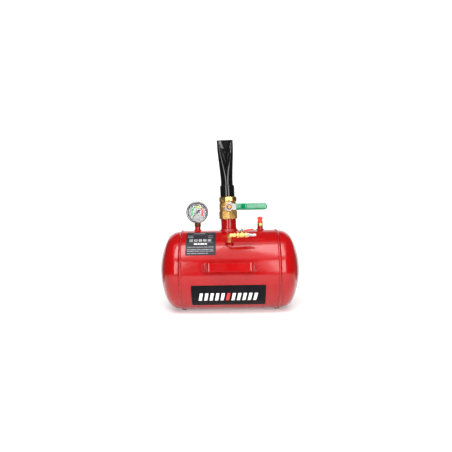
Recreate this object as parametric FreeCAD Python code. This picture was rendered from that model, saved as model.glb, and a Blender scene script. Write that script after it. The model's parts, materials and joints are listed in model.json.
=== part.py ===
import FreeCAD, Part
import math
import os
from dataclasses import dataclass

# Tyre bead seater: a portable air tank with a quick-opening ball valve and a flattened blast barrel.
# Millimetres. The origin is the middle of the tank's axis; X runs along the tank, +Z is up and the
# carrying handle faces -Y.

V = FreeCAD.Vector
X_AXIS, Y_AXIS, Z_AXIS = V(1, 0, 0), V(0, 1, 0), V(0, 0, 1)

# Tank
SHELL_R = 125.0            # outside radius of the rolled shell
SHELL_HALF = 148.5         # half length of the shell
WALL = 2.5
HEAD_R = SHELL_R - WALL    # the heads slip inside the shell
HEAD_LAP = 10.0            # overlap inside the shell
HEAD_SKIRT = 10.0          # straight skirt outside the shell
CROWN_R = 0.9045 * 2 * HEAD_R      # crown and knuckle of a 2:1 dished head, 61 mm deep
KNUCKLE_R = 0.1727 * 2 * HEAD_R
BEAD_RISE = 2.4
BEAD_REACH = 3.5

# Rest shoes under the two round seams
SHOE_HALF_WIDTH = 7.0
SHOE_FRONT, SHOE_BACK = -14.0, 34.0
FLOOR_Z = -128.0

# Neck, valve and barrel stack
NECK_LEAN = 1.55           # degrees that the welded neck leans towards -X
LEAN_Z = 88.0              # height at which the leaning axis crosses x = 0
VALVE_TURN = 4.3           # degrees that the tightened valve has turned past the front
NECK_R, NECK_BORE_R = 24.15, 20.5
NECK_BOTTOM, NECK_TOP = 116.0, 174.5
NECK_WELD_R = 31.0
VALVE_Z = 200.0
SOCKET_R = 23.0
SOCKET_SPIGOT = 6.5
SOCKET_BOTTOM, SOCKET_TOP = 232.0, 268.6
TUBE_R, TUBE_WALL = 19.05, 2.0
TUBE_BOTTOM = 242.0
OUTLINE_ANGLES = (0.0, 18.0, 36.0, 54.0, 70.0, 84.0)   # of the points on a quarter of the barrel's outline
BARREL_LEAN = 0.45         # degrees that the barrel leans beyond the neck
# Height and width of the pressed tube
FISHTAIL = (
    (283.0, 38.1), (312.0, 40.8), (330.0, 43.4), (345.0, 45.6), (368.5, 48.6), (392.0, 51.6), (412.0, 50.8),
)
PRESS_START = 330.0        # height at which the flats begin to be dished
PRESS_DEPTH = 1.3          # depth of the dish at the mouth

# Main lever
LEVER_T = 3.0
LEVER_ROOT_HALF, LEVER_ARM_HALF = 10.0, 7.0
LEVER_BENDS = ((38.6, 0.0), (51.8, 9.0))    # distance out, step away from the valve
LEVER_END = 115.0
LEVER_BEND_R = 7.0
GRIP_START, GRIP_END = 21.6, 117.5
GRIP_HALF, GRIP_T = 10.15, 7.6
STOP_IN, STOP_OUT = 13.6, 17.4
STOP_HALF, TAB_HALF = 3.0, 2.5
STOP_ANGLE, STOP_GAP = 180.0, 24.0

# Threaded bosses
BOSS_R, BOSS_BORE_R = 9.0, 6.6
BOSS_IN, BOSS_OUT = 118.0, 136.6
BOSS_WELD_R = 14.0

# Pressure gauge
GAUGE_X, GAUGE_Z = -101.0, 184.0
GAUGE_R = 33.0
GAUGE_FRONT, GAUGE_BACK = -16.0, 13.0
BEZEL_R, BEZEL_IN_R = 34.6, 29.0
LENS_T = 2.4
DIAL_Y, DIAL_R, DIAL_T = -8.0, 30.4, 0.6
NEEDLE_Y, NEEDLE_T = -9.6, 0.5
NEEDLE_LENGTH, NEEDLE_TAIL = 21.0, 9.0
NEEDLE_REST = 225.0        # degrees, anticlockwise from +X seen from the front
STEM_AF = 14.4
STEM_NECK_R = 5.8
STEM_BOTTOM, STEM_TOP = 136.6, 151.0
PLUG_R = 4.0               # the rubber plug in the top of the case
BOURDON_R, BOURDON_COIL_R = 1.6, 24.5
BOURDON_START, BOURDON_ARC = 296.0, 250.0      # degrees
BOURDON_Y = 5.5
WORKS_R, WORKS_PLATE_T, POST_R = 9.0, 1.0, 1.2
WORKS_FRONT, WORKS_BACK = 2.0, -6.0            # towards the dial from the stem's axis

# Safety valve
SAFETY_X = 99.0
SAFETY_AF = 14.6
SAFETY_HEX_TOP = 146.9
CAP_BOTTOM, CAP_TOP = 147.2, 166.2
SAFETY_PIN_TOP = 168.8
SAFETY_TOWER_R = 5.2       # the brass tower that the cap slides on
SPRING_BORE_R = 4.0
SAFETY_PIN_R = 1.5
SAFETY_DISC_R, SAFETY_DISC_T = 3.7, 2.0
VENT_R = 2.4               # the seat's bore
CAP_R, CAP_WAIST_R, CAP_IN_R = 8.5, 7.0, 5.5
WIRE_HALF = 0.45
COIL_R, COIL_TURNS = 2.8, 5

# Fill branch
FILL_PHI = 45.2            # degrees above the horizontal, on the front
FILL_R = 163.3             # radius of the branch pipe's axis about the tank's axis
FILL_LEG_R, FILL_BORE_R = 6.4, 2.6
ELBOW_R = 7.5              # bend radius of the elbow's middle line
ELBOW_AF = 13.6
ELBOW_COLLAR_X, ELBOW_COLLAR_R = 12.0, 7.3
FILL_VALVE_X = 37.0
FILL_INLET_X, FILL_OUTLET_X = 21.4, 53.5
PLUG_END_X = 78.6
FILL_LEVER_T, FILL_LEVER_HALF, FILL_ARM_HALF = 1.4, 4.0, 2.6
FILL_LEVER_BENDS = ((6.0, 0.0), (30.0, 2.6))
FILL_LEVER_END, FILL_LEVER_BEND_R = 34.0, 5.0
SLEEVE_START, SLEEVE_END = 10.5, 35.3
SLEEVE_HALF, SLEEVE_WALL = 3.9, 1.6

# Handle strap
HANDLE_PHI = 9.75          # degrees above the horizontal, on the front
STRAP_HALF, STRAP_T = 12.5, 3.0
STRAP_REACH = 157.0        # outside of the grip from the tank's axis
STRAP_GRIP_HALF = 64.3
STRAP_FOOT_IN, STRAP_FOOT_OUT = 69.5, 82.0
STRAP_BEND_R = 4.5

# Labels, wrapped on the shell
LABEL_T = 0.3
INFO_LABEL = (-132.0, -41.0, 27.5, 75.0)       # x from, x to, lower and upper angle
FRONT_LABEL = (-116.5, 106.0, -51.8, -14.3)

FIT = 0.05                 # radial clearance of a shaft that turns in its hole


def turned(shape, axis, degrees, centre=V(0, 0, 0)):
    """A copy of the shape turned about an axis through a centre."""
    copy = shape.copy()
    copy.rotate(centre, axis, degrees)
    return copy


def placed(shape, placement):
    """A copy of the shape moved by a placement."""
    copy = shape.copy()
    copy.Placement = placement.multiply(copy.Placement)
    return copy


def moved(shape, x=0.0, y=0.0, z=0.0):
    """A copy of the shape shifted by x, y and z."""
    copy = shape.copy()
    copy.translate(V(x, y, z))
    return copy


def rod(radius, start, end):
    """A solid cylinder between two points."""
    along = end.sub(start)
    return Part.makeCylinder(radius, along.Length, start, along)


def tube(outer, inner, start, end):
    """A hollow cylinder between two points."""
    along = end.sub(start)
    past = V(along).normalize()
    return rod(outer, start, end).cut(rod(inner, start.sub(past), end.add(past)))


def block(x0, x1, y0, y1, z0, z1):
    """A box between two corners."""
    return Part.makeBox(x1 - x0, y1 - y0, z1 - z0, V(x0, y0, z0))


def polygon_face(points):
    """A flat face inside a closed run of straight edges."""
    return Part.Face(Part.makePolygon(points + points[:1]))


def lathe(profile, angle=360.0):
    """Turns a closed (radius, height) outline about the Z axis."""
    face = polygon_face([V(r, 0, z) for r, z in profile])
    return face.revolve(V(0, 0, 0), Z_AXIS, angle)


def prism(sides, across_flats, z0, z1, chamfer=0.0):
    """A regular wrench prism along Z with its corners turned off at both ends."""
    corner = across_flats / 2 / math.cos(math.pi / sides)
    steps = [2 * math.pi * (i + 0.5) / sides for i in range(sides)]
    face = polygon_face([V(corner * math.cos(a), corner * math.sin(a), z0) for a in steps])
    body = face.extrude(V(0, 0, z1 - z0))
    if chamfer:
        cut = corner - across_flats / 2 + chamfer / 2
        low, high = corner - cut, corner + 1.0
        body = body.common(lathe([
            (0, z0), (low, z0), (high, z0 + (high - low) * 0.6), (high, z1 - (high - low) * 0.6),
            (low, z1), (0, z1),
        ]))
    return body


def along_x(shape):
    """Turns a shape built along Z so that it lies along X."""
    return turned(shape, Y_AXIS, 90)


def front_direction(degrees):
    """The unit vector on the tank's front at an angle above the horizontal."""
    angle = math.radians(degrees)
    return V(0, -math.cos(angle), math.sin(angle))


def radial(degrees, shape):
    """Stands a shape built on +Z on the tank's front at an angle above the horizontal."""
    return turned(shape, X_AXIS, 90 - degrees)


def stack_placement():
    """The leaning frame of the neck, the valve and the barrel."""
    centre = V(0, 0, LEAN_Z)
    lean = FreeCAD.Placement(V(0, 0, 0), FreeCAD.Rotation(Y_AXIS, -NECK_LEAN), centre)
    turn = FreeCAD.Placement(V(0, 0, 0), FreeCAD.Rotation(Z_AXIS, VALVE_TURN))
    return lean.multiply(turn)


def lever_placement():
    """The frame of the main lever: X out along the arm, Z away from the valve, arm kept level."""
    level = FreeCAD.Placement(V(0, 0, 0), FreeCAD.Rotation(Y_AXIS, NECK_LEAN), V(0, 0, VALVE_Z))
    stand = FreeCAD.Placement(V(0, 0, VALVE_Z), FreeCAD.Rotation(X_AXIS, 90))
    return stack_placement().multiply(level).multiply(stand)


def fill_placement():
    """The frame of the fill valve: its Z along +X of the tank, its -Y pointing up."""
    corner = front_direction(FILL_PHI).multiply(FILL_R)
    flow = FreeCAD.Rotation(Y_AXIS.negative(), Z_AXIS.negative(), X_AXIS, "ZYX")
    return FreeCAD.Placement(V(FILL_VALVE_X, corner.y, corner.z), flow)


def fill_lever_placement():
    """The frame of the fill lever: X out along the arm, Z up."""
    corner = front_direction(FILL_PHI).multiply(FILL_R)
    return FreeCAD.Placement(V(FILL_VALVE_X, corner.y, corner.z), FreeCAD.Rotation())


@dataclass(frozen=True)
class ValveSizes:
    """Sizes of a two-piece ball valve whose flow runs along Z and whose stem points to -Y."""

    ball_r: float
    port_r: float
    body_r: float
    sides: int
    across_flats: float
    inlet: float           # the body's threaded end, below the ball's centre
    inlet_bore_r: float
    collar: float          # where the wrench prism ends, below the centre
    split: float           # the body's open end, above the centre
    nut: float             # where the end piece's wrench prism starts
    outlet: float
    outlet_bore_r: float
    stem_r: float
    thread_r: float
    boss_r: float
    boss_top: float
    gland_top: float
    gland_af: float
    lever_seat: float      # the lever's inner face, from the ball's centre
    stem_top: float
    chamber_gap: float
    opened: bool           # whether the ball's bore lies along the flow at rest

    @property
    def chamber_r(self):
        return self.ball_r + self.chamber_gap

    @property
    def seat_in(self):
        return 0.70 * self.ball_r

    @property
    def seat_out(self):
        return 0.96 * self.ball_r

    @property
    def seat_r(self):
        return 0.90 * self.ball_r

    @property
    def screw_r(self):
        return (self.chamber_r + self.body_r) / 2


MAIN_VALVE = ValveSizes(
    ball_r=23.0, port_r=16.5, body_r=27.0, sides=8, across_flats=54.0,
    inlet=39.0, inlet_bore_r=NECK_R, collar=13.0, split=12.0, nut=16.0, outlet=32.0, outlet_bore_r=21.0,
    stem_r=6.0, thread_r=4.6, boss_r=11.9, boss_top=38.0, gland_top=44.5, gland_af=20.0,
    lever_seat=48.0, stem_top=60.0, chamber_gap=0.6, opened=False,
)
FILL_VALVE = ValveSizes(
    ball_r=5.4, port_r=3.0, body_r=7.2, sides=6, across_flats=13.4,
    inlet=FILL_VALVE_X - FILL_INLET_X, inlet_bore_r=4.6, collar=7.9, split=6.0, nut=8.0,
    outlet=FILL_OUTLET_X - FILL_VALVE_X, outlet_bore_r=4.4,
    stem_r=2.2, thread_r=1.7, boss_r=4.4, boss_top=9.6, gland_top=12.2, gland_af=7.6,
    lever_seat=13.1, stem_top=20.0, chamber_gap=0.4, opened=True,
)


def valve_body(s):
    """The cast body: threaded wrench end, round middle, stem boss and the chamber for the ball."""
    body = prism(s.sides, s.across_flats, -s.inlet, -s.collar, 1.0)
    middle = s.body_r + 0.02 * s.ball_r
    body = body.fuse(lathe([
        (0, -s.collar - 1), (s.body_r - 1, -s.collar - 1), (s.body_r, -s.collar), (middle, -s.collar / 2),
        (middle, s.split / 2), (s.body_r - 0.4, s.split), (0, s.split),
    ]))
    body = body.fuse(rod(s.boss_r, V(0, 0, 0), V(0, -s.boss_top, 0)))
    port = rod(s.port_r, V(0, 0, -s.inlet - 1), V(0, 0, 0))
    bore = rod(s.inlet_bore_r, V(0, 0, -s.inlet - 1), V(0, 0, -s.seat_out - 0.13 * s.ball_r))
    chamber = rod(s.chamber_r, V(0, 0, -s.seat_out), V(0, 0, s.split + 1))
    screw = rod(s.screw_r, V(0, 0, s.split - 0.22 * s.ball_r), V(0, 0, s.split + 1))
    stem = rod(s.stem_r + FIT, V(0, 0, 0), V(0, -s.boss_top - 1, 0))
    recess = rod(1.5 * s.stem_r, V(0, 0.8 * -s.boss_top, 0), V(0, -s.boss_top - 1, 0))
    for hollow in (port, bore, chamber, screw, stem, recess):
        body = body.cut(hollow)
    return body


def valve_end_piece(s):
    """The screwed end piece: wrench prism, groove, male screw and the outlet's thread bore."""
    end = prism(s.sides, s.across_flats, s.nut, s.outlet, 1.0)
    end = end.fuse(rod(s.body_r - 1.5, V(0, 0, s.split), V(0, 0, s.nut + 1)))
    end = end.fuse(rod(s.screw_r, V(0, 0, s.split - 0.22 * s.ball_r), V(0, 0, s.split)))
    port = rod(s.port_r, V(0, 0, 0), V(0, 0, s.outlet + 1))
    chamber = rod(s.chamber_r, V(0, 0, 0), V(0, 0, s.seat_out))
    bore = rod(s.outlet_bore_r, V(0, 0, s.seat_out + 0.13 * s.ball_r), V(0, 0, s.outlet + 1))
    for hollow in (port, chamber, bore):
        end = end.cut(hollow)
    return end


def valve_ball(s):
    """The ball with its through bore and the slot that takes the stem's tang."""
    ball = Part.makeSphere(s.ball_r)
    along = Z_AXIS if s.opened else X_AXIS
    reach = V(along).multiply(s.ball_r + 1)
    ball = ball.cut(rod(s.port_r, reach.negative(), reach))
    half = s.stem_r * 0.5
    return ball.cut(block(-half, half, -s.ball_r - 1, -0.86 * s.ball_r, -s.ball_r, s.ball_r))


def valve_seats(s):
    """The two plastic rings that the ball turns against."""
    ring = tube(s.chamber_r, s.port_r, V(0, 0, s.seat_in), V(0, 0, s.seat_out))
    ring = ring.cut(Part.makeSphere(s.ball_r + FIT))
    return Part.makeCompound([ring, turned(ring, X_AXIS, 180)])


def valve_stem(s):
    """The stem: tang in the ball's slot, round shank and the thinner threaded end."""
    half = s.stem_r * 0.5
    tang = block(-half, half, -s.chamber_r + 0.2, -0.86 * s.ball_r, -s.stem_r * 0.86, s.stem_r * 0.86)
    shank = rod(s.stem_r, V(0, -s.chamber_r + 0.2, 0), V(0, -s.lever_seat, 0))
    shank = shank.cut(Part.makeSphere(s.ball_r))
    thread = rod(s.thread_r, V(0, -s.lever_seat + 0.5, 0), V(0, -s.stem_top, 0))
    return shank.fuse(tang).fuse(thread)


def stem_packing(s):
    """The ring that seals the stem in its boss."""
    return tube(1.5 * s.stem_r, s.stem_r + FIT, V(0, 0.8 * -s.boss_top, 0), V(0, -s.boss_top, 0))


def gland_nut(s):
    """The nut that presses the packing down."""
    nut = prism(6, s.gland_af, s.boss_top, s.gland_top, 0.6)
    nut = nut.cut(rod(s.stem_r + FIT, V(0, 0, 0), V(0, 0, s.gland_top + 1)))
    return turned(nut, X_AXIS, 90)


def hex_nut(across_flats, bore_r, z0, z1):
    """A hexagon nut along Z."""
    return prism(6, across_flats, z0, z1, 0.5).cut(rod(bore_r, V(0, 0, z0 - 1), V(0, 0, z1 + 1)))


def rounded_run(line, bend_r, away):
    """The edges of a run of (out, away) points moved to its left, with its corners rounded.

    bend_r is the corner radius on the unmoved run, so that moved runs stay concentric.
    """
    spots = [V(u, 0, n) for u, n in line]
    ways = [V(b.sub(a)).normalize() for a, b in zip(spots, spots[1:])]
    lefts = [V(-way.z, 0, way.x) for way in ways]
    edges = []
    start = spots[0].add(V(lefts[0]).multiply(away))
    for i in range(1, len(spots) - 1):
        before, after = ways[i - 1], ways[i]
        half = before.getAngle(after) / 2
        sign = 1.0 if lefts[i - 1].dot(after) > 0 else -1.0
        radius = bend_r - sign * away
        miter = V(lefts[i - 1].add(lefts[i])).normalize().multiply(away / math.cos(half))
        corner = spots[i].add(miter)
        reach = radius * math.tan(half)
        enter = corner.sub(V(before).multiply(reach))
        leave = corner.add(V(after).multiply(reach))
        inward = V(after.sub(before)).normalize()
        middle = corner.add(inward.multiply(radius / math.cos(half) - radius))
        edges.append(Part.LineSegment(start, enter).toShape())
        edges.append(Part.Arc(enter, middle, leave).toShape())
        start = leave
    edges.append(Part.LineSegment(start, spots[-1].add(V(lefts[-1]).multiply(away))).toShape())
    return edges


def bent_strip(line, low, high, half_width, bend_r):
    """A strip between two distances from a bent run of (out, away) points, centred on Y."""
    inner, outer = rounded_run(line, bend_r, low), rounded_run(line, bend_r, high)
    ends = []
    for i in (0, -1):
        ends.append(Part.LineSegment(inner[i].Vertexes[i].Point, outer[i].Vertexes[i].Point).toShape())
    wire = Part.Wire(Part.__sortEdges__(inner + outer + ends))
    return moved(Part.Face(wire), y=-half_width).extrude(V(0, 2 * half_width, 0))


def paddle(x0, x1, half_width, z0, z1):
    """A plate with one half-round end at x1."""
    body = block(x0, x1 - half_width, -half_width, half_width, z0, z1)
    return body.fuse(rod(half_width, V(x1 - half_width, 0, z0), V(x1 - half_width, 0, z1)))


def write(shape, node):
    """Writes one node to its STEP file."""
    if len(shape.Solids) == 1:
        shape = shape.Solids[0]
    shape.exportStep(f"parts/{node}.step")


def solid_of(shape):
    """The shape with faces that lie on one surface joined."""
    return shape.removeSplitter()


def boss_directions():
    """The x, front angle and name of the three threaded bosses."""
    return ((GAUGE_X, 90.0, "gauge_boss"), (SAFETY_X, 90.0, "safety_boss"), (0.0, FILL_PHI, "fill_boss"))


def dish(inset):
    """The solid under the right-hand head's outer or inner skin: a spherical crown and a round knuckle."""
    crown, knuckle = CROWN_R - inset, KNUCKLE_R - inset
    radius, end = HEAD_R - inset, SHELL_HALF + HEAD_SKIRT
    across = radius - knuckle
    drop = math.sqrt((crown - knuckle) ** 2 - across ** 2)
    tilt = math.atan2(across, drop)
    top = V(0, 0, end - drop + crown)
    joint = V(crown * math.sin(tilt), 0, end - drop + crown * math.cos(tilt))
    on_crown = V(crown * math.sin(tilt / 2), 0, end - drop + crown * math.cos(tilt / 2))
    bend = (math.pi / 2 + tilt) / 2
    on_knuckle = V(across + knuckle * math.sin(bend), 0, end + knuckle * math.cos(bend))
    start = SHELL_HALF - HEAD_LAP - (1.0 if inset else 0.0)
    edges = [
        Part.Arc(top, on_crown, joint).toShape(),
        Part.Arc(joint, on_knuckle, V(radius, 0, end)).toShape(),
        Part.LineSegment(V(radius, 0, end), V(radius, 0, start)).toShape(),
        Part.LineSegment(V(radius, 0, start), V(0, 0, start)).toShape(),
        Part.LineSegment(V(0, 0, start), top).toShape(),
    ]
    return Part.Face(Part.Wire(edges)).revolve(V(0, 0, 0), Z_AXIS, 360)


def head():
    """The right-hand dished head, with its straight skirt."""
    return along_x(dish(0.0).cut(dish(WALL)))


def seam_bead():
    """The raised weld ring that covers the right-hand lap joint."""
    start = V(SHELL_R, 0, SHELL_HALF - BEAD_REACH)
    crest = V(SHELL_R + BEAD_RISE, 0, SHELL_HALF)
    shoulder = V(SHELL_R + 0.6, 0, SHELL_HALF + BEAD_REACH)
    toe = V(HEAD_R, 0, SHELL_HALF + 1.6 * BEAD_REACH)
    edges = [
        Part.Arc(start, crest, shoulder).toShape(),
        Part.LineSegment(shoulder, toe).toShape(),
        Part.LineSegment(toe, V(HEAD_R, 0, SHELL_HALF)).toShape(),
        Part.LineSegment(V(HEAD_R, 0, SHELL_HALF), V(SHELL_R, 0, SHELL_HALF)).toShape(),
        Part.LineSegment(V(SHELL_R, 0, SHELL_HALF), start).toShape(),
    ]
    ring = Part.Face(Part.Wire(edges)).revolve(V(0, 0, 0), Z_AXIS, 360)
    return along_x(ring)


def weld_fillet(pipe_r, foot_r, height):
    """A hollow-faced weld around a pipe that stands on the top of the shell."""
    low = SHELL_R - 5.0
    foot = V(foot_r, 0, SHELL_R - 1.2)
    top = V(pipe_r, 0, SHELL_R + height)
    middle = V(pipe_r + 0.36 * (foot_r - pipe_r), 0, SHELL_R + 0.30 * height)
    edges = [
        Part.LineSegment(V(pipe_r, 0, low), V(foot_r, 0, low)).toShape(),
        Part.LineSegment(V(foot_r, 0, low), foot).toShape(),
        Part.Arc(foot, middle, top).toShape(),
        Part.LineSegment(top, V(pipe_r, 0, low)).toShape(),
    ]
    return Part.Face(Part.Wire(edges)).revolve(V(0, 0, 0), Z_AXIS, 360)


def build_tank():
    """The pressure tank: shell, heads, seams, neck, bosses and rest shoes."""
    stack = stack_placement()
    solid_shell = rod(SHELL_R, V(-SHELL_HALF, 0, 0), V(SHELL_HALF, 0, 0))
    shell = tube(SHELL_R, HEAD_R, V(-SHELL_HALF, 0, 0), V(SHELL_HALF, 0, 0))
    shell = shell.cut(placed(rod(NECK_R, V(0, 0, 50), V(0, 0, SHELL_R + 20)), stack))
    for x, phi, node in boss_directions():
        shell = shell.cut(moved(radial(phi, rod(BOSS_R, V(0, 0, 50), V(0, 0, SHELL_R + 9))), x=x))
    write(shell, "tank_shell")

    right = head()
    write(right, "tank_head_right")
    write(turned(right, Z_AXIS, 180), "tank_head_left")
    bead = seam_bead()
    write(Part.makeCompound([bead, turned(bead, Z_AXIS, 180)]), "seam_welds")

    neck = placed(tube(NECK_R, NECK_BORE_R, V(0, 0, NECK_BOTTOM), V(0, 0, NECK_TOP)), stack)
    write(neck, "neck_pipe")
    weld = placed(weld_fillet(NECK_R, NECK_WELD_R, 7.5), stack)
    write(weld.cut(solid_shell), "neck_weld")

    welds = []
    for x, phi, node in boss_directions():
        boss = tube(BOSS_R, BOSS_BORE_R, V(0, 0, BOSS_IN), V(0, 0, BOSS_OUT))
        write(moved(radial(phi, boss), x=x), node)
        ring = moved(radial(phi, weld_fillet(BOSS_R, BOSS_WELD_R, 4.5)), x=x)
        welds.append(ring.cut(solid_shell))
    write(Part.makeCompound(welds), "boss_welds")

    right_shoe = block(
        SHELL_HALF - SHOE_HALF_WIDTH, SHELL_HALF + SHOE_HALF_WIDTH, SHOE_FRONT, SHOE_BACK, FLOOR_Z, -100.0)
    for solid in (solid_shell, rod(HEAD_R, V(0, 0, 0), V(SHELL_HALF + 20, 0, 0)), bead):
        right_shoe = right_shoe.cut(solid)
    low = min(right_shoe.Solids, key=lambda s: s.CenterOfMass.z)
    write(low, "shoe_right")
    write(low.mirror(V(0, 0, 0), X_AXIS), "shoe_left")


def build_handle():
    """The bent strap handle with its half-round feet and the welds around them."""
    low, high = SHELL_R, STRAP_REACH - STRAP_T
    half = [(0.0, high), (STRAP_GRIP_HALF - 1.2, high), (STRAP_FOOT_IN, low), (STRAP_FOOT_OUT, low)]
    right = bent_strip(half, 0.0, STRAP_T, STRAP_HALF, STRAP_BEND_R)
    outline = paddle(0, STRAP_FOOT_OUT, STRAP_HALF, 0, STRAP_REACH + 1)
    right = right.common(outline)
    strap = solid_of(right.fuse(turned(right, Z_AXIS, 180)))
    write(radial(HANDLE_PHI, strap), "handle_strap")

    solid_shell = rod(SHELL_R, V(-SHELL_HALF, 0, 0), V(SHELL_HALF, 0, 0))
    pad = paddle(0, STRAP_FOOT_OUT + 3.2, STRAP_HALF + 3.2, low - 3, low + 1.2)
    slope = paddle(0, STRAP_FOOT_OUT + 1.6, STRAP_HALF + 1.6, low, low + 2.4)
    weld = pad.fuse(slope).cut(block(-1, STRAP_FOOT_IN + 2, -50, 50, 0, STRAP_REACH))
    cover = paddle(0, STRAP_FOOT_OUT, STRAP_HALF, low, low + STRAP_T)
    weld = radial(HANDLE_PHI, weld.cut(cover)).cut(solid_shell)
    write(Part.makeCompound([weld, weld.mirror(V(0, 0, 0), X_AXIS)]), "handle_welds")


def build_labels():
    """The two thin plates wrapped on the shell."""
    for node, (x0, x1, low, high) in (("info_label", INFO_LABEL), ("front_label", FRONT_LABEL)):
        start = front_direction(high)
        corners = [V(x, start.y * r, start.z * r) for x, r in (
            (x0, SHELL_R), (x1, SHELL_R), (x1, SHELL_R + LABEL_T), (x0, SHELL_R + LABEL_T))]
        write(polygon_face(corners).revolve(V(0, 0, 0), X_AXIS, high - low), node)


def fishtail_section(z, width, inset):
    """The tube's closed outline at a height: half rounds joined by flats that are dished by the press."""
    girth = 2 * math.pi * TUBE_R
    depth = min((girth - 2 * width) / (math.pi - 2), 2 * TUBE_R)
    half, radius = (width - depth) / 2, depth / 2 - inset
    dip = PRESS_DEPTH * max(0.0, (z - PRESS_START) / (FISHTAIL[-1][0] - PRESS_START))
    quarter = []
    for degrees in OUTLINE_ANGLES:
        angle = math.radians(degrees)
        quarter.append((half + radius * math.cos(angle), radius * math.sin(angle)))
    front = quarter + [(0.0, radius - dip)] + [(-x, y) for x, y in reversed(quarter)]
    points = [V(x, y, z) for x, y in front + [(-x, -y) for x, y in front[1:-1]]]
    curve = Part.BSplineCurve()
    curve.interpolate(Points=points, PeriodicFlag=True)
    return Part.Wire(curve.toShape())


def build_barrel():
    """The black barrel: a threaded socket and the tube that flattens to a wide mouth."""
    stack = stack_placement()
    chamfer = 2.0
    bore_r, spigot_r = MAIN_VALVE.port_r, MAIN_VALVE.outlet_bore_r
    spigot_end = SOCKET_BOTTOM - SOCKET_SPIGOT
    socket = lathe([
        (bore_r, spigot_end), (spigot_r, spigot_end), (spigot_r, SOCKET_BOTTOM),
        (SOCKET_R - 0.3 * chamfer, SOCKET_BOTTOM), (SOCKET_R, SOCKET_BOTTOM + 0.3 * chamfer),
        (SOCKET_R, SOCKET_TOP - chamfer), (SOCKET_R - 0.6 * chamfer, SOCKET_TOP - 0.4 * chamfer),
        (SOCKET_R - chamfer, SOCKET_TOP), (bore_r, SOCKET_TOP),
    ])
    lean = FreeCAD.Placement(
        V(0, 0, 0), FreeCAD.Rotation(Y_AXIS, -BARREL_LEAN), V(0, 0, TUBE_BOTTOM))
    pocket = placed(rod(TUBE_R + FIT, V(0, 0, TUBE_BOTTOM), V(0, 0, SOCKET_TOP + 5)), lean)
    write(placed(socket.cut(pocket), stack), "barrel_socket")

    tube_width, mouth = FISHTAIL[0][1], FISHTAIL[-1]
    rings = ((TUBE_BOTTOM, tube_width),) + FISHTAIL
    past = ((TUBE_BOTTOM - 1, tube_width),) + FISHTAIL[:-1] + ((mouth[0] + 1, mouth[1]),)
    outside = Part.makeLoft([fishtail_section(z, width, 0.0) for z, width in rings], True, True)
    inside = Part.makeLoft([fishtail_section(z, width, TUBE_WALL) for z, width in past], True, True)
    barrel = outside.cut(inside)
    write(placed(placed(barrel, lean), stack), "barrel_tube")


def build_main_valve():
    """The quick-opening ball valve with its stop lug, and the hand lever."""
    stack, side = stack_placement(), lever_placement()
    s = MAIN_VALVE

    def in_stack(shape):
        return placed(moved(shape, z=VALVE_Z), stack)

    lug = block(-STOP_OUT, -s.boss_r + 2, -STOP_HALF, STOP_HALF, 20.0, s.boss_top)
    lug = lug.fuse(block(-STOP_OUT, -s.boss_r - 0.5, -STOP_HALF, STOP_HALF, 20.0, s.boss_top + 5.5))
    lug = turned(lug, Z_AXIS, STOP_ANGLE - 180)
    body = in_stack(valve_body(s)).fuse(placed(lug, side).cut(
        in_stack(rod(s.chamber_r + 1, V(0, 0, -s.collar), V(0, 0, s.split)))))
    write(body, "valve_body")
    write(in_stack(valve_end_piece(s)), "valve_end_piece")
    write(in_stack(valve_ball(s)), "valve_ball")
    write(in_stack(valve_seats(s)), "valve_seats")
    write(in_stack(valve_stem(s)), "valve_stem")
    write(in_stack(stem_packing(s)), "stem_packing")
    write(in_stack(gland_nut(s)), "gland_nut")

    foot = s.lever_seat
    (bend_0, _), (bend_1, step) = LEVER_BENDS
    line = [(-14.0, foot), (bend_0, foot), (bend_1, foot + step), (LEVER_END, foot + step)]
    strip = bent_strip(line, 0.0, LEVER_T, STOP_OUT, LEVER_BEND_R)
    top = foot + step + LEVER_T
    outline = rod(LEVER_ROOT_HALF + 3, V(0, 0, foot), V(0, 0, top))
    outline = outline.fuse(block(0, 22.0, -LEVER_ROOT_HALF, LEVER_ROOT_HALF, foot, top))
    outline = outline.fuse(paddle(0, LEVER_END, LEVER_ARM_HALF, foot, top))
    lever = strip.common(outline)
    for angle in (STOP_ANGLE + STOP_GAP, STOP_ANGLE - STOP_GAP - 90):
        ear = block(LEVER_ROOT_HALF, STOP_OUT, -TAB_HALF, TAB_HALF, foot, foot + LEVER_T)
        tab = block(STOP_IN, STOP_OUT, -TAB_HALF, TAB_HALF, foot - 7.0, foot + LEVER_T)
        lever = lever.fuse(turned(ear.fuse(tab), Z_AXIS, angle))
    lever = solid_of(lever.cut(rod(s.thread_r, V(0, 0, 0), V(0, 0, foot + 20))))
    write(placed(lever, side), "lever")

    gap = (GRIP_T - LEVER_T) / 2
    grip_line = [(GRIP_START, foot), (bend_0, foot), (bend_1, foot + step), (GRIP_END, foot + step)]
    grip = bent_strip(grip_line, -gap, LEVER_T + gap, GRIP_HALF, LEVER_BEND_R)
    grip = grip.common(paddle(0, GRIP_END, GRIP_HALF, foot - gap, top + gap))
    grip = grip.cut(lever)
    write(placed(grip, side), "lever_grip")
    face = foot + LEVER_T
    washer = tube(9.4, s.thread_r, V(0, 0, face), V(0, 0, face + 1.2))
    write(placed(washer, side), "lever_washer")
    write(placed(hex_nut(14.0, s.thread_r, face + 1.2, face + 7.0), side), "lever_nut")


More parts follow.
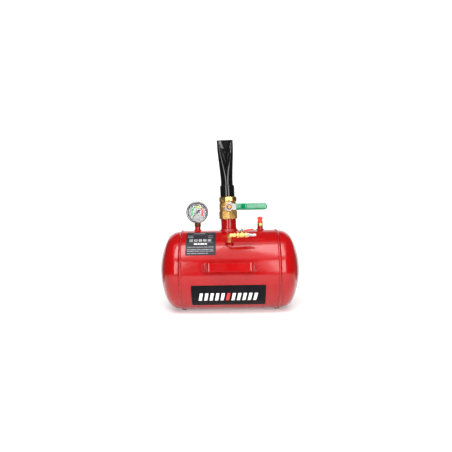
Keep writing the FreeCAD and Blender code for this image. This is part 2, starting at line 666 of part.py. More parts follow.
def build_gauge():
    """The bottom-connected pressure gauge: case, bezel, lens, dial, needle and the works inside."""
    centre = V(GAUGE_X, 0, GAUGE_Z)

    def face_on(shape):
        """Turns a shape built along Z so that its +Z faces the front, at the gauge's centre."""
        return moved(turned(shape, X_AXIS, 90), GAUGE_X, 0, GAUGE_Z)

    front, back = -GAUGE_FRONT, -GAUGE_BACK
    case = lathe([
        (0, back), (GAUGE_R - 3.0, back), (GAUGE_R - 0.9, back + 0.9), (GAUGE_R, back + 3.0),
        (GAUGE_R, front - 3.0), (GAUGE_R - 1.2, front - 3.0), (GAUGE_R - 1.2, back + 3.2),
        (GAUGE_R - 3.2, back + 1.2), (0, back + 1.2),
    ])
    case = face_on(case)
    stem_hole = rod(STEM_NECK_R, centre, V(GAUGE_X, 0, GAUGE_Z - GAUGE_R - 2))
    plug_hole = rod(PLUG_R, centre, V(GAUGE_X, 0, GAUGE_Z + GAUGE_R + 2))
    write(case.cut(stem_hole).cut(plug_hole), "gauge_case")

    bezel = lathe([
        (GAUGE_R, front - 8.4), (BEZEL_R - 0.6, front - 8.4), (BEZEL_R, front - 7.6),
        (BEZEL_R, front - 2.0),
        (BEZEL_R - 1.4, front - 0.4), (BEZEL_R - 3.0, front), (BEZEL_IN_R + 0.8, front - 0.9),
        (BEZEL_IN_R, front - 2.2), (BEZEL_IN_R, front - 3.0), (GAUGE_R, front - 3.0),
    ])
    write(face_on(bezel), "gauge_bezel")
    lens_r = GAUGE_R - 1.2
    write(face_on(rod(lens_r, V(0, 0, front - 3.0 - LENS_T), V(0, 0, front - 3.0))), "gauge_lens")
    dial_back = -DIAL_Y
    dial = tube(DIAL_R, 2.0, V(0, 0, dial_back - DIAL_T), V(0, 0, dial_back))
    rim = tube(lens_r, DIAL_R - 0.6, V(0, 0, dial_back - 2.0), V(0, 0, front - 3.0 - LENS_T))
    write(face_on(dial.cut(rim)), "gauge_dial")
    write(face_on(rim), "gauge_dial_ring")

    hub = rod(2.6, V(0, 0, -NEEDLE_Y - 0.9), V(0, 0, -NEEDLE_Y + 0.6))
    pin = rod(0.9, V(0, 0, 2.4), V(0, 0, -NEEDLE_Y))
    blade = polygon_face([
        V(0, -1.1, -NEEDLE_Y), V(NEEDLE_LENGTH, -0.25, -NEEDLE_Y), V(NEEDLE_LENGTH, 0.25, -NEEDLE_Y),
        V(0, 1.1, -NEEDLE_Y), V(-NEEDLE_TAIL, 2.3, -NEEDLE_Y), V(-NEEDLE_TAIL, -2.3, -NEEDLE_Y),
    ]).extrude(V(0, 0, -NEEDLE_T))
    needle = turned(hub.fuse(pin).fuse(blade), Z_AXIS, NEEDLE_REST)
    write(face_on(needle), "gauge_needle")

    stem = moved(prism(4, STEM_AF, STEM_BOTTOM, STEM_TOP, 0.6), x=GAUGE_X)
    stem = stem.fuse(rod(BOSS_BORE_R, V(GAUGE_X, 0, STEM_BOTTOM - 12), V(GAUGE_X, 0, STEM_BOTTOM)))
    stem = stem.fuse(rod(STEM_NECK_R, V(GAUGE_X, 0, STEM_TOP), V(GAUGE_X, 0, STEM_TOP + 4)))
    holder = block(GAUGE_X - 6, GAUGE_X + 6, 2.0, 9.0, STEM_TOP + 3, GAUGE_Z - 18)
    stem = stem.fuse(holder).cut(rod(1.6, V(GAUGE_X, 0, 0), V(GAUGE_X, 0, STEM_TOP + 2)))
    write(stem, "gauge_socket")

    arc = Part.makeTorus(BOURDON_COIL_R, BOURDON_R, V(0, 0, 0), Z_AXIS, 0, 360, BOURDON_ARC)
    bourdon = moved(face_on(turned(arc, Z_AXIS, BOURDON_START)), y=BOURDON_Y)
    write(bourdon.cut(holder), "bourdon_tube")

    front_plate, back_plate = WORKS_FRONT, WORKS_BACK
    works = rod(WORKS_R, V(0, 0, front_plate - WORKS_PLATE_T), V(0, 0, front_plate))
    works = works.fuse(rod(WORKS_R, V(0, 0, back_plate), V(0, 0, back_plate + WORKS_PLATE_T)))
    for side in (-1, 1):
        x = side * WORKS_R / 2
        y = 0.7 * WORKS_R
        post = rod(POST_R, V(x, y, back_plate + WORKS_PLATE_T), V(x, y, front_plate - WORKS_PLATE_T))
        works = works.fuse(post)
    bridge = block(-3.0, 3.0, -2 * WORKS_R, 1 - WORKS_R, back_plate, back_plate + WORKS_PLATE_T)
    write(face_on(works.fuse(bridge)).cut(holder), "gauge_movement")
    rim_z = GAUGE_Z + GAUGE_R
    plug = rod(PLUG_R, V(GAUGE_X, 0, rim_z - 1.6), V(GAUGE_X, 0, rim_z + 0.6))
    plug = plug.fuse(rod(PLUG_R + 1.2, V(GAUGE_X, 0, rim_z + 0.6), V(GAUGE_X, 0, rim_z + 1.6)))
    write(plug, "gauge_fill_plug")


def build_safety_valve():
    """The spring safety valve: brass body, sprung stem and the red pull cap."""
    x = SAFETY_X
    seat = BOSS_OUT + 1.3
    disc_top = seat + SAFETY_DISC_T
    tower_top = CAP_TOP - 6.0
    roof = tower_top - 1.5
    body = prism(6, SAFETY_AF, BOSS_OUT, SAFETY_HEX_TOP, 0.8)
    body = body.fuse(rod(BOSS_BORE_R, V(0, 0, BOSS_OUT - 12), V(0, 0, BOSS_OUT)))
    body = body.fuse(rod(SAFETY_TOWER_R, V(0, 0, SAFETY_HEX_TOP - 1), V(0, 0, tower_top)))
    body = body.cut(rod(VENT_R, V(0, 0, 0), V(0, 0, BOSS_OUT + 2)))
    body = body.cut(rod(SPRING_BORE_R, V(0, 0, BOSS_OUT + 1), V(0, 0, roof)))
    body = body.cut(rod(SAFETY_PIN_R + FIT, V(0, 0, BOSS_OUT), V(0, 0, tower_top + 1)))
    write(moved(body, x=x), "safety_body")

    stem = rod(SAFETY_PIN_R, V(0, 0, seat), V(0, 0, SAFETY_PIN_TOP))
    stem = stem.fuse(rod(SAFETY_DISC_R, V(0, 0, seat), V(0, 0, disc_top)))
    write(moved(stem, x=x), "safety_stem")

    cap = lathe([
        (CAP_IN_R, CAP_BOTTOM), (CAP_R - 0.3, CAP_BOTTOM), (CAP_R, CAP_BOTTOM + 0.4),
        (CAP_R, CAP_BOTTOM + 3.6), (CAP_WAIST_R, CAP_BOTTOM + 5.2), (CAP_WAIST_R, CAP_TOP - 5.6),
        (CAP_R, CAP_TOP - 4.0), (CAP_R, CAP_TOP - 1.0), (CAP_R - 1.0, CAP_TOP), (SAFETY_PIN_R, CAP_TOP),
        (SAFETY_PIN_R, CAP_TOP - 2.2), (CAP_IN_R, CAP_TOP - 2.2),
    ])
    write(moved(cap, x=x), "safety_cap")

    low, high = disc_top + WIRE_HALF + 0.1, roof - WIRE_HALF - 0.1
    helix = Part.makeHelix((high - low) / COIL_TURNS, high - low, COIL_R)
    diamond = ((1, 0), (0, 1), (-1, 0), (0, -1), (1, 0))
    ring = Part.makePolygon([V(COIL_R + u * WIRE_HALF, 0, v * WIRE_HALF) for u, v in diamond])
    coil = Part.Wire(helix.Edges).makePipeShell([ring], True, True)
    write(moved(coil, x, 0, low), "safety_spring")


def elbow_core(radius, start):
    """A round bar that stands on +Z from a start height, bends over and runs out along +X."""
    turn = FILL_R - ELBOW_R
    riser = rod(radius, V(0, 0, start), V(0, 0, turn))
    disc = Part.Face(Part.Wire(Part.makeCircle(radius, V(0, 0, turn), Z_AXIS)))
    bend = disc.revolve(V(ELBOW_R, 0, turn), Y_AXIS, 90)
    run = rod(radius, V(ELBOW_R, 0, FILL_R), V(FILL_INLET_X - 3, 0, FILL_R))
    return riser.fuse(bend).fuse(run)


def build_fill_branch():
    """The fill branch: elbow, small ball valve with its lever and the quick-coupler plug."""
    corner = front_direction(FILL_PHI).multiply(FILL_R)
    s = FILL_VALVE
    place, side = fill_placement(), fill_lever_placement()

    elbow = elbow_core(FILL_LEG_R, BOSS_OUT + 2)
    elbow = elbow.fuse(prism(6, ELBOW_AF, BOSS_OUT, BOSS_OUT + 7.0, 0.8))
    elbow = elbow.fuse(rod(BOSS_BORE_R, V(0, 0, BOSS_OUT - 11), V(0, 0, BOSS_OUT)))
    collar = rod(ELBOW_COLLAR_R, V(ELBOW_COLLAR_X, 0, FILL_R), V(FILL_INLET_X - 3, 0, FILL_R))
    spigot = rod(s.inlet_bore_r, V(ELBOW_COLLAR_X, 0, FILL_R), V(FILL_INLET_X + 6, 0, FILL_R))
    drill = rod(FILL_BORE_R, V(ELBOW_COLLAR_X, 0, FILL_R), V(FILL_INLET_X + 9, 0, FILL_R))
    elbow = elbow.fuse(collar).fuse(spigot).cut(elbow_core(FILL_BORE_R, SHELL_R - 30)).cut(drill)
    write(solid_of(radial(FILL_PHI, elbow)), "fill_elbow")

    write(placed(valve_body(s), place), "fill_valve_body")
    write(placed(valve_end_piece(s), place), "fill_valve_end")
    write(placed(valve_ball(s), place), "fill_ball")
    write(placed(valve_seats(s), place), "fill_seats")
    write(placed(valve_stem(s), place), "fill_stem")
    write(placed(gland_nut(s).fuse(stem_packing(s)), place), "fill_gland_nut")

    foot, far = s.lever_seat, FILL_LEVER_END
    top = foot + 9.0
    (bend_0, _), (bend_1, step) = FILL_LEVER_BENDS
    line = [(-5.0, foot), (bend_0, foot), (bend_1, foot + step), (far, foot + step)]
    lever = bent_strip(line, 0.0, FILL_LEVER_T, FILL_LEVER_HALF, FILL_LEVER_BEND_R)
    outline = rod(FILL_LEVER_HALF, V(0, 0, 0), V(0, 0, top))
    outline = outline.fuse(block(0, 9.0, -FILL_LEVER_HALF, FILL_LEVER_HALF, 0, top))
    outline = outline.fuse(paddle(0, far, FILL_ARM_HALF, 0, top))
    lever = lever.common(outline).cut(rod(s.thread_r, V(0, 0, 0), V(0, 0, top)))
    write(placed(lever, side), "fill_lever")
    rise = step * (SLEEVE_START - bend_0) / (bend_1 - bend_0)
    line = [(SLEEVE_START, foot + rise), (bend_1, foot + step), (SLEEVE_END, foot + step)]
    sleeve = bent_strip(line, -SLEEVE_WALL, FILL_LEVER_T + SLEEVE_WALL, SLEEVE_HALF, FILL_LEVER_BEND_R)
    sleeve = sleeve.common(paddle(0, SLEEVE_END, SLEEVE_HALF, 0, top)).cut(lever)
    write(placed(sleeve, side), "fill_lever_sleeve")
    nut_seat = foot + FILL_LEVER_T
    write(placed(hex_nut(6.4, s.thread_r, nut_seat, nut_seat + 3.0), side), "fill_lever_nut")

    outlet = s.outlet
    end = PLUG_END_X - FILL_VALVE_X
    plug = lathe([
        (2.5, outlet - 6.0), (s.outlet_bore_r, outlet - 6.0), (s.outlet_bore_r, outlet), (6.6, outlet),
        (6.6, outlet + 3.5), (5.0, outlet + 5.0), (5.0, outlet + 9.0), (3.9, outlet + 9.6),
        (3.9, outlet + 14.0), (4.7, outlet + 15.6), (4.7, end - 4.0), (3.9, end - 3.2), (3.9, end),
        (2.5, end),
    ])
    write(placed(plug, place), "coupler_plug")


def main():
    """Builds every sub-assembly and writes one STEP file per piece."""
    os.makedirs("parts", exist_ok=True)
    build_tank()
    build_handle()
    build_labels()
    build_main_valve()
    build_barrel()
    build_gauge()
    build_safety_valve()
    build_fill_branch()


main()
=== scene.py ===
"""The looks of a tyre bead seater: a lying air tank with a ball valve and a flattened blast barrel."""

import json
import logging
import math
from dataclasses import dataclass, field
from enum import Enum
from typing import Callable, Optional, Sequence

import bmesh
import bpy
from mathutils import Matrix, Vector, noise


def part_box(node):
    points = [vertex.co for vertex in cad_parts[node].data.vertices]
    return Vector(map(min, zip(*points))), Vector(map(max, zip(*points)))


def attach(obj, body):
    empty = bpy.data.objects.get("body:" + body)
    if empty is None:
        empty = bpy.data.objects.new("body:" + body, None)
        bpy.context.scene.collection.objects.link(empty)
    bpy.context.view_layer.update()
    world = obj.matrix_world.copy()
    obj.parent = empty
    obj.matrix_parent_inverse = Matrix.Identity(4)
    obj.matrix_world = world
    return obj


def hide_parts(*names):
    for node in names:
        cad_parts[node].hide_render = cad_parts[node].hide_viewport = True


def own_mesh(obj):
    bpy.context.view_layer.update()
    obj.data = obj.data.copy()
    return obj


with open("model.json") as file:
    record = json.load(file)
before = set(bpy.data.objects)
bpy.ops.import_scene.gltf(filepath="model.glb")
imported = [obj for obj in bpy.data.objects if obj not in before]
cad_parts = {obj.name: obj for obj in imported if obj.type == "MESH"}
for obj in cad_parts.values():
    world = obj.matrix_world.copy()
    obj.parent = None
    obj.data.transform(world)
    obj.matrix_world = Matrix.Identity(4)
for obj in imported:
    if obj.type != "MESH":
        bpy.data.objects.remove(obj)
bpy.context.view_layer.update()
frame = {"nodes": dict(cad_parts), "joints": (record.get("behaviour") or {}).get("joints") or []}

log = logging.getLogger("bead_seater")

MM = 0.001
Point2 = tuple[float, float]
Colour = tuple[float, float, float]
Corner = tuple[float, float, float]
IDENTITY = Matrix.Identity(4)


def srgb(red: int, green: int, blue: int) -> Colour:
    """Turns a display colour into linear light.

    Args:
        red: Red from 0 to 255.
        green: Green from 0 to 255.
        blue: Blue from 0 to 255.

    Returns:
        The three linear values.
    """
    def linear(value: int) -> float:
        """One channel in linear light."""
        share = value / 255
        return share / 12.92 if share <= 0.04045 else ((share + 0.055) / 1.055) ** 2.4
    return linear(red), linear(green), linear(blue)


# ---------------------------------------------------------------- finishes


class Bench:
    """One material being wired: a principled shader with helpers for its textures."""

    def __init__(self, name: str) -> None:
        """Starts an empty material.

        Args:
            name: The material's name.
        """
        self.material = bpy.data.materials.new(name)
        self.material.use_nodes = True
        self.tree = self.material.node_tree
        self.tree.nodes.clear()
        self.shader = self.tree.nodes.new("ShaderNodeBsdfPrincipled")
        out = self.tree.nodes.new("ShaderNodeOutputMaterial")
        self.tree.links.new(self.shader.outputs["BSDF"], out.inputs["Surface"])
        self.place = self.tree.nodes.new("ShaderNodeTexCoord").outputs["Object"]

    def set(self, socket: str, value: object) -> None:
        """Sets one of the shader's own sockets to a constant."""
        self.shader.inputs[socket].default_value = value

    def join(self, source: bpy.types.NodeSocket, socket: str) -> None:
        """Links a texture to one of the shader's sockets."""
        self.tree.links.new(source, self.shader.inputs[socket])

    def grain(self, scale: float, detail: float = 3.0,
              stretch: Corner = (1.0, 1.0, 1.0)) -> bpy.types.NodeSocket:
        """Makes a noise in the object's own space.

        Args:
            scale: Features to the metre.
            detail: Octaves of the noise.
            stretch: Scale along each axis.

        Returns:
            The noise's value.
        """
        mapping = self.tree.nodes.new("ShaderNodeMapping")
        mapping.inputs["Scale"].default_value = stretch
        self.tree.links.new(self.place, mapping.inputs["Vector"])
        texture = self.tree.nodes.new("ShaderNodeTexNoise")
        texture.inputs["Scale"].default_value = scale
        texture.inputs["Detail"].default_value = detail
        self.tree.links.new(mapping.outputs["Vector"], texture.inputs["Vector"])
        return texture.outputs["Fac"]

    def cells(self, scale: float) -> bpy.types.NodeSocket:
        """Makes the distance of a cell pattern, for pits and cast skin.

        Args:
            scale: Cells to the metre.

        Returns:
            The distance to the nearest cell's centre.
        """
        texture = self.tree.nodes.new("ShaderNodeTexVoronoi")
        texture.inputs["Scale"].default_value = scale
        self.tree.links.new(self.place, texture.inputs["Vector"])
        return texture.outputs["Distance"]

    def spread(self, value: bpy.types.NodeSocket, low: float, high: float,
               start: float = 0.3, end: float = 0.7) -> bpy.types.NodeSocket:
        """Maps a texture's value to a range.

        Args:
            value: The texture's value.
            low: Result at start.
            high: Result at end.
            start: Lower input.
            end: Upper input.

        Returns:
            The mapped value.
        """
        node = self.tree.nodes.new("ShaderNodeMapRange")
        node.inputs["From Min"].default_value = start
        node.inputs["From Max"].default_value = end
        node.inputs["To Min"].default_value = low
        node.inputs["To Max"].default_value = high
        self.tree.links.new(value, node.inputs["Value"])
        return node.outputs["Result"]

    def tint(self, value: bpy.types.NodeSocket, one: Colour, other: Colour,
             start: float = 0.35, end: float = 0.65) -> bpy.types.NodeSocket:
        """Blends two colours by a texture.

        Args:
            value: The texture's value.
            one: Colour at start.
            other: Colour at end.
            start: Lower input.
            end: Upper input.

        Returns:
            The blended colour.
        """
        node = self.tree.nodes.new("ShaderNodeValToRGB")
        node.color_ramp.elements[0].position = start
        node.color_ramp.elements[0].color = (*one, 1.0)
        node.color_ramp.elements[1].position = end
        node.color_ramp.elements[1].color = (*other, 1.0)
        self.tree.links.new(value, node.inputs["Fac"])
        return node.outputs["Color"]

    def bump(self, height: bpy.types.NodeSocket, strength: float, depth: float,
             under: Optional[bpy.types.NodeSocket] = None) -> bpy.types.NodeSocket:
        """Turns a height into a normal.

        Args:
            height: The height texture.
            strength: Strength of the bump.
            depth: Depth in metres.
            under: A normal that this one is laid on.

        Returns:
            The normal.
        """
        node = self.tree.nodes.new("ShaderNodeBump")
        node.inputs["Strength"].default_value = strength
        node.inputs["Distance"].default_value = depth
        self.tree.links.new(height, node.inputs["Height"])
        if under is not None:
            self.tree.links.new(under, node.inputs["Normal"])
        return node.outputs["Normal"]


@dataclass(frozen=True)
class Finish:
    """A surface finish, with the record's slot that it stands for."""

    name: str
    slot: str
    colour: Colour
    worn: Colour
    rough: float = 0.3

    def wire(self, bench: Bench) -> None:
        """Wires the shader; each finish has its own."""
        raise NotImplementedError

    def material(self) -> bpy.types.Material:
        """Makes the material, or gives the one made before.

        Returns:
            The material.
        """
        made = bpy.data.materials.get(self.name)
        if made is None:
            bench = Bench(self.name)
            self.wire(bench)
            made = bench.material
        return made


@dataclass(frozen=True)
class Enamel(Finish):
    """Sprayed gloss enamel with orange peel, faint scuffs and a clear top."""

    peel: float = 0.10
    coat: float = 0.06
    shine: float = 0.36

    def wire(self, bench: Bench) -> None:
        """Wires orange peel, thin and thick coats and scuffed gloss.

        Args:
            bench: The material being wired.
        """
        bench.join(bench.tint(bench.grain(9.0, 4.0), self.worn, self.colour, 0.30, 0.62), "Base Color")
        bench.join(bench.spread(bench.grain(55.0, 6.0), self.rough * 0.8, self.rough * 1.35), "Roughness")
        peel = bench.bump(bench.grain(330.0, 2.0), self.peel, 0.0004)
        flow = bench.bump(bench.grain(36.0, 2.0), self.peel * 0.6, 0.0016, peel)
        bench.join(flow, "Normal")
        bench.set("Specular IOR Level", self.shine)
        bench.set("Coat Weight", self.coat)
        bench.set("Coat Roughness", 0.05)


@dataclass(frozen=True)
class CastMetal(Finish):
    """Bare metal with a cast or blasted skin."""

    skin: float = 0.25
    skin_scale: float = 900.0

    def wire(self, bench: Bench) -> None:
        """Wires tarnish, uneven gloss and the grainy skin.

        Args:
            bench: The material being wired.
        """
        bench.join(bench.tint(bench.grain(70.0, 5.0), self.worn, self.colour), "Base Color")
        bench.join(bench.spread(bench.grain(160.0, 4.0), self.rough * 0.75, self.rough * 1.4), "Roughness")
        coarse = bench.bump(bench.grain(self.skin_scale, 3.0), self.skin, 0.0003)
        bench.join(bench.bump(bench.cells(self.skin_scale * 0.6), self.skin * 0.4, 0.0002, coarse), "Normal")
        bench.set("Metallic", 1.0)


@dataclass(frozen=True)
class TurnedMetal(Finish):
    """Machined or plated metal with fine tool lines."""

    lines: Corner = (1.0, 1.0, 30.0)
    depth: float = 0.12

    def wire(self, bench: Bench) -> None:
        """Wires handling marks and tool lines.

        Args:
            bench: The material being wired.
        """
        bench.join(bench.tint(bench.grain(60.0, 5.0), self.worn, self.colour), "Base Color")
        bench.join(bench.spread(bench.grain(120.0, 5.0), self.rough * 0.7, self.rough * 1.5), "Roughness")
        bench.join(bench.bump(bench.grain(260.0, 3.0, self.lines), self.depth, 0.0002), "Normal")
        bench.set("Metallic", 1.0)


@dataclass(frozen=True)
class Moulded(Finish):
    """Dipped vinyl, moulded plastic or rubber with a fine grain."""

    grain: float = 0.15
    sheen: float = 0.0
    shine: float = 0.5

    def wire(self, bench: Bench) -> None:
        """Wires the moulded grain and rubbed patches.

        Args:
            bench: The material being wired.
        """
        bench.join(bench.tint(bench.grain(40.0, 4.0), self.worn, self.colour), "Base Color")
        bench.join(bench.spread(bench.grain(90.0, 5.0), self.rough * 0.8, self.rough * 1.3), "Roughness")
        fine = bench.bump(bench.grain(1500.0, 2.0), self.grain, 0.00015)
        bench.join(bench.bump(bench.grain(120.0, 3.0), self.grain * 0.8, 0.0006, fine), "Normal")
        bench.set("Specular IOR Level", self.shine)
        bench.set("Sheen Weight", self.sheen)


@dataclass(frozen=True)
class Clear(Finish):
    """The gauge's window."""

    def wire(self, bench: Bench) -> None:
        """Wires clear glass with faint smears.

        Args:
            bench: The material being wired.
        """
        bench.join(bench.tint(bench.grain(30.0, 3.0), self.worn, self.colour), "Base Color")
        bench.join(bench.spread(bench.grain(90.0, 5.0), 0.0, self.rough), "Roughness")
        bench.set("Transmission Weight", 1.0)
        bench.set("IOR", 1.06)
        bench.set("Alpha", 0.35)


class Finishes(Enum):
    """Every finish on the bead seater."""

    RED = Enamel("red_enamel_gloss", "red_enamel", srgb(151, 4, 7), srgb(143, 3, 5), 0.15)
    RED_WELD = Enamel("red_enamel_on_weld", "red_enamel", srgb(146, 4, 7), srgb(130, 3, 5), 0.22, peel=0.16)
    BLACK = Enamel("black_enamel_gloss", "black_enamel", srgb(10, 10, 11), srgb(6, 6, 7), 0.06, peel=0.03)
    BRASS_CAST = CastMetal("brass_cast", "brass", srgb(214, 176, 108), srgb(196, 154, 88), 0.44, skin=0.12)
    BRASS_TURNED = TurnedMetal("brass_turned", "brass", srgb(198, 162, 98), srgb(180, 142, 80), 0.30)
    ZINC = TurnedMetal("zinc_plate", "zinc_steel", srgb(152, 151, 148), srgb(130, 130, 128), 0.36)
    # Painted shade: the silver lock nut gets a darker, reddish copy of the zinc that stands in for the shade
    # round it.
    ZINC_NUT_PAINTED_SHADE = TurnedMetal("zinc_nut_painted_shade", "zinc_steel", srgb(104, 96, 95), srgb(84, 76, 75), 0.22)
    NICKEL = TurnedMetal("nickel_plate", "nickel_steel", srgb(214, 212, 208), srgb(190, 188, 184), 0.16)
    CHROME = TurnedMetal("polished_bezel", "chrome_bezel", srgb(126, 124, 125), srgb(110, 108, 109), 0.2)
    CASE = TurnedMetal("drawn_case", "chrome_bezel", srgb(190, 190, 192), srgb(170, 170, 172), 0.26)
    GREEN = Moulded("green_dip", "green_vinyl", srgb(2, 118, 76), srgb(1, 106, 66), 0.16)
    RED_VINYL = Moulded("red_dip", "red_vinyl", srgb(205, 40, 30), srgb(186, 28, 20), 0.34)
    RED_CAP = Moulded("red_cap_plastic", "red_plastic", srgb(224, 62, 34), srgb(206, 48, 26), 0.28,
                      grain=0.08)
    WINDOW = Clear("gauge_window", "lens", (0.96, 0.98, 0.98), (0.92, 0.95, 0.95), 0.05)
    DIAL = Moulded("dial_enamel", "dial_white", srgb(152, 151, 151), srgb(145, 144, 144), 0.45, grain=0.04)
    INK = Moulded("black_ink", "needle_black", srgb(20, 20, 22), srgb(28, 28, 30), 0.5, grain=0.03)
    INK_GREEN = Moulded("green_ink", "green_vinyl", srgb(40, 160, 84), srgb(34, 148, 76), 0.5, grain=0.03)
    INK_YELLOW = Moulded("yellow_ink", "brass", srgb(236, 196, 40), srgb(226, 184, 34), 0.5, grain=0.03)
    INK_RED = Moulded("red_ink", "red_plastic", srgb(214, 40, 34), srgb(204, 32, 28), 0.5, grain=0.03)
    INK_WHITE = Moulded("white_ink", "dial_white", srgb(236, 236, 236), srgb(222, 222, 222), 0.42, grain=0.04)
    INK_GREY = Moulded("grey_ink", "label_film", srgb(120, 120, 124), srgb(104, 104, 108), 0.45, grain=0.04)
    FILM = Moulded("black_film", "label_film", srgb(11, 10, 13), srgb(15, 14, 17), 0.34,
                   grain=0.05, shine=0.07)
    FILM_GREY = Moulded("charcoal_film", "label_film", srgb(32, 31, 37), srgb(39, 38, 44), 0.34,
                        grain=0.05, shine=0.15)
    PTFE = Moulded("ptfe", "seal_white", srgb(236, 236, 230), srgb(224, 224, 216), 0.5)
    RUBBER = Moulded("moulded_rubber", "black_rubber", srgb(24, 24, 25), srgb(34, 34, 35), 0.6, sheen=0.2)
    SPRING = TurnedMetal("spring_wire", "spring_steel", srgb(170, 170, 172), srgb(140, 140, 142), 0.25)


# ---------------------------------------------------------------- forms


def rounded(corners: Sequence[Corner], steps: int = 4) -> list[Point2]:
    """Rounds the corners of a closed outline.

    Args:
        corners: Points as (across, along, radius).
        steps: Points on each rounded corner, less one.

    Returns:
        The outline with each corner as an arc.
    """
    points: list[Point2] = []
    count = len(corners)
    for index, (x, y, radius) in enumerate(corners):
        here = Vector((x, y))
        before = Vector(corners[index - 1][:2]) - here
        after = Vector(corners[(index + 1) % count][:2]) - here
        if radius <= 0 or before.length < 1e-9 or after.length < 1e-9:
            points.append((x, y))
            continue
        half = before.angle(after) / 2
        reach = min(radius / max(math.tan(half), 1e-6), before.length * 0.49, after.length * 0.49)
        start, end = here + before.normalized() * reach, here + after.normalized() * reach
        if before.length > 4 * reach:
            points.append(tuple(start + before.normalized() * 0.25 * reach))
        for step in range(steps + 1):
            share = step / steps
            spot = start.lerp(here, share).lerp(here.lerp(end, share), share)
            points.append((spot.x, spot.y))
        if after.length > 4 * reach:
            points.append(tuple(end + after.normalized() * 0.25 * reach))
    return points


def polygon_limit(sides: int, across_flats: float, softness: float = 90.0,
                  phase: float = 0.5) -> Callable[[float], float]:
    """The edge of a wrench prism with slightly worn corners.

    Args:
        sides: Number of flats.
        across_flats: Distance between two flats.
        softness: Higher is sharper.
        phase: Turn of the prism, in sides.

    Returns:
        A function from an angle to the radius there.
    """
    normals = [2 * math.pi * (side + phase) / sides for side in range(sides)]

    def limit(angle: float) -> float:
        """The radius at an angle."""
        total = sum(max(0.0, math.cos(angle - normal)) ** softness for normal in normals)
        return across_flats / 2 * total ** (-1 / softness)
    return limit


class BentLine:
    """A flat strip's centre line: straight runs joined by arcs."""

    def __init__(self, points: Sequence[Point2], radius: float) -> None:
        """Samples the line.

        Args:
            points: The corners of the line.
            radius: Bend radius at every inner corner.
        """
        spots: list[Vector] = [Vector(points[0])]
        for before, here, after in zip(points, points[1:], points[2:]):
            corner, back, ahead = Vector(here), Vector(before), Vector(after)
            turn = (corner - back).angle(ahead - corner)
            reach = radius * math.tan(turn / 2)
            start = corner + (back - corner).normalized() * reach
            end = corner + (ahead - corner).normalized() * reach
            for step in range(9):
                share = step / 8
                spots.append(start.lerp(corner, share).lerp(corner.lerp(end, share), share))
        spots.append(Vector(points[-1]))
        self.spots = spots
        self.reach = [0.0]
        for one, other in zip(spots, spots[1:]):
            self.reach.append(self.reach[-1] + (other - one).length)

    @property
    def length(self) -> float:
        """Length of the whole line."""
        return self.reach[-1]

    def at(self, distance: float) -> tuple[Vector, Vector]:
        """Finds a place on the line.

        Args:
            distance: Distance from the line's start.

        Returns:
            The point and the unit normal, a quarter turn left of the direction.
        """
        distance = min(max(distance, 0.0), self.length)
        index = 1
        while index < len(self.reach) - 1 and self.reach[index] < distance:
            index += 1
        one, other = self.spots[index - 1], self.spots[index]
        span = self.reach[index] - self.reach[index - 1]
        share = (distance - self.reach[index - 1]) / span if span > 1e-9 else 0.0

        def run(position: int) -> Vector:
            """Direction of one run.

            Args:
                position: Number of the run, counted from one.

            Returns:
                Its unit direction.
            """
            position = min(max(position, 1), len(self.spots) - 1)
            way = self.spots[position] - self.spots[position - 1]
            return way.normalized() if way.length > 1e-9 else Vector((1.0, 0.0))
        start = (run(index - 1) + run(index)).normalized()
        end = (run(index) + run(index + 1)).normalized()
        way = start.lerp(end, share).normalized()
        return one.lerp(other, share), Vector((-way.y, way.x))


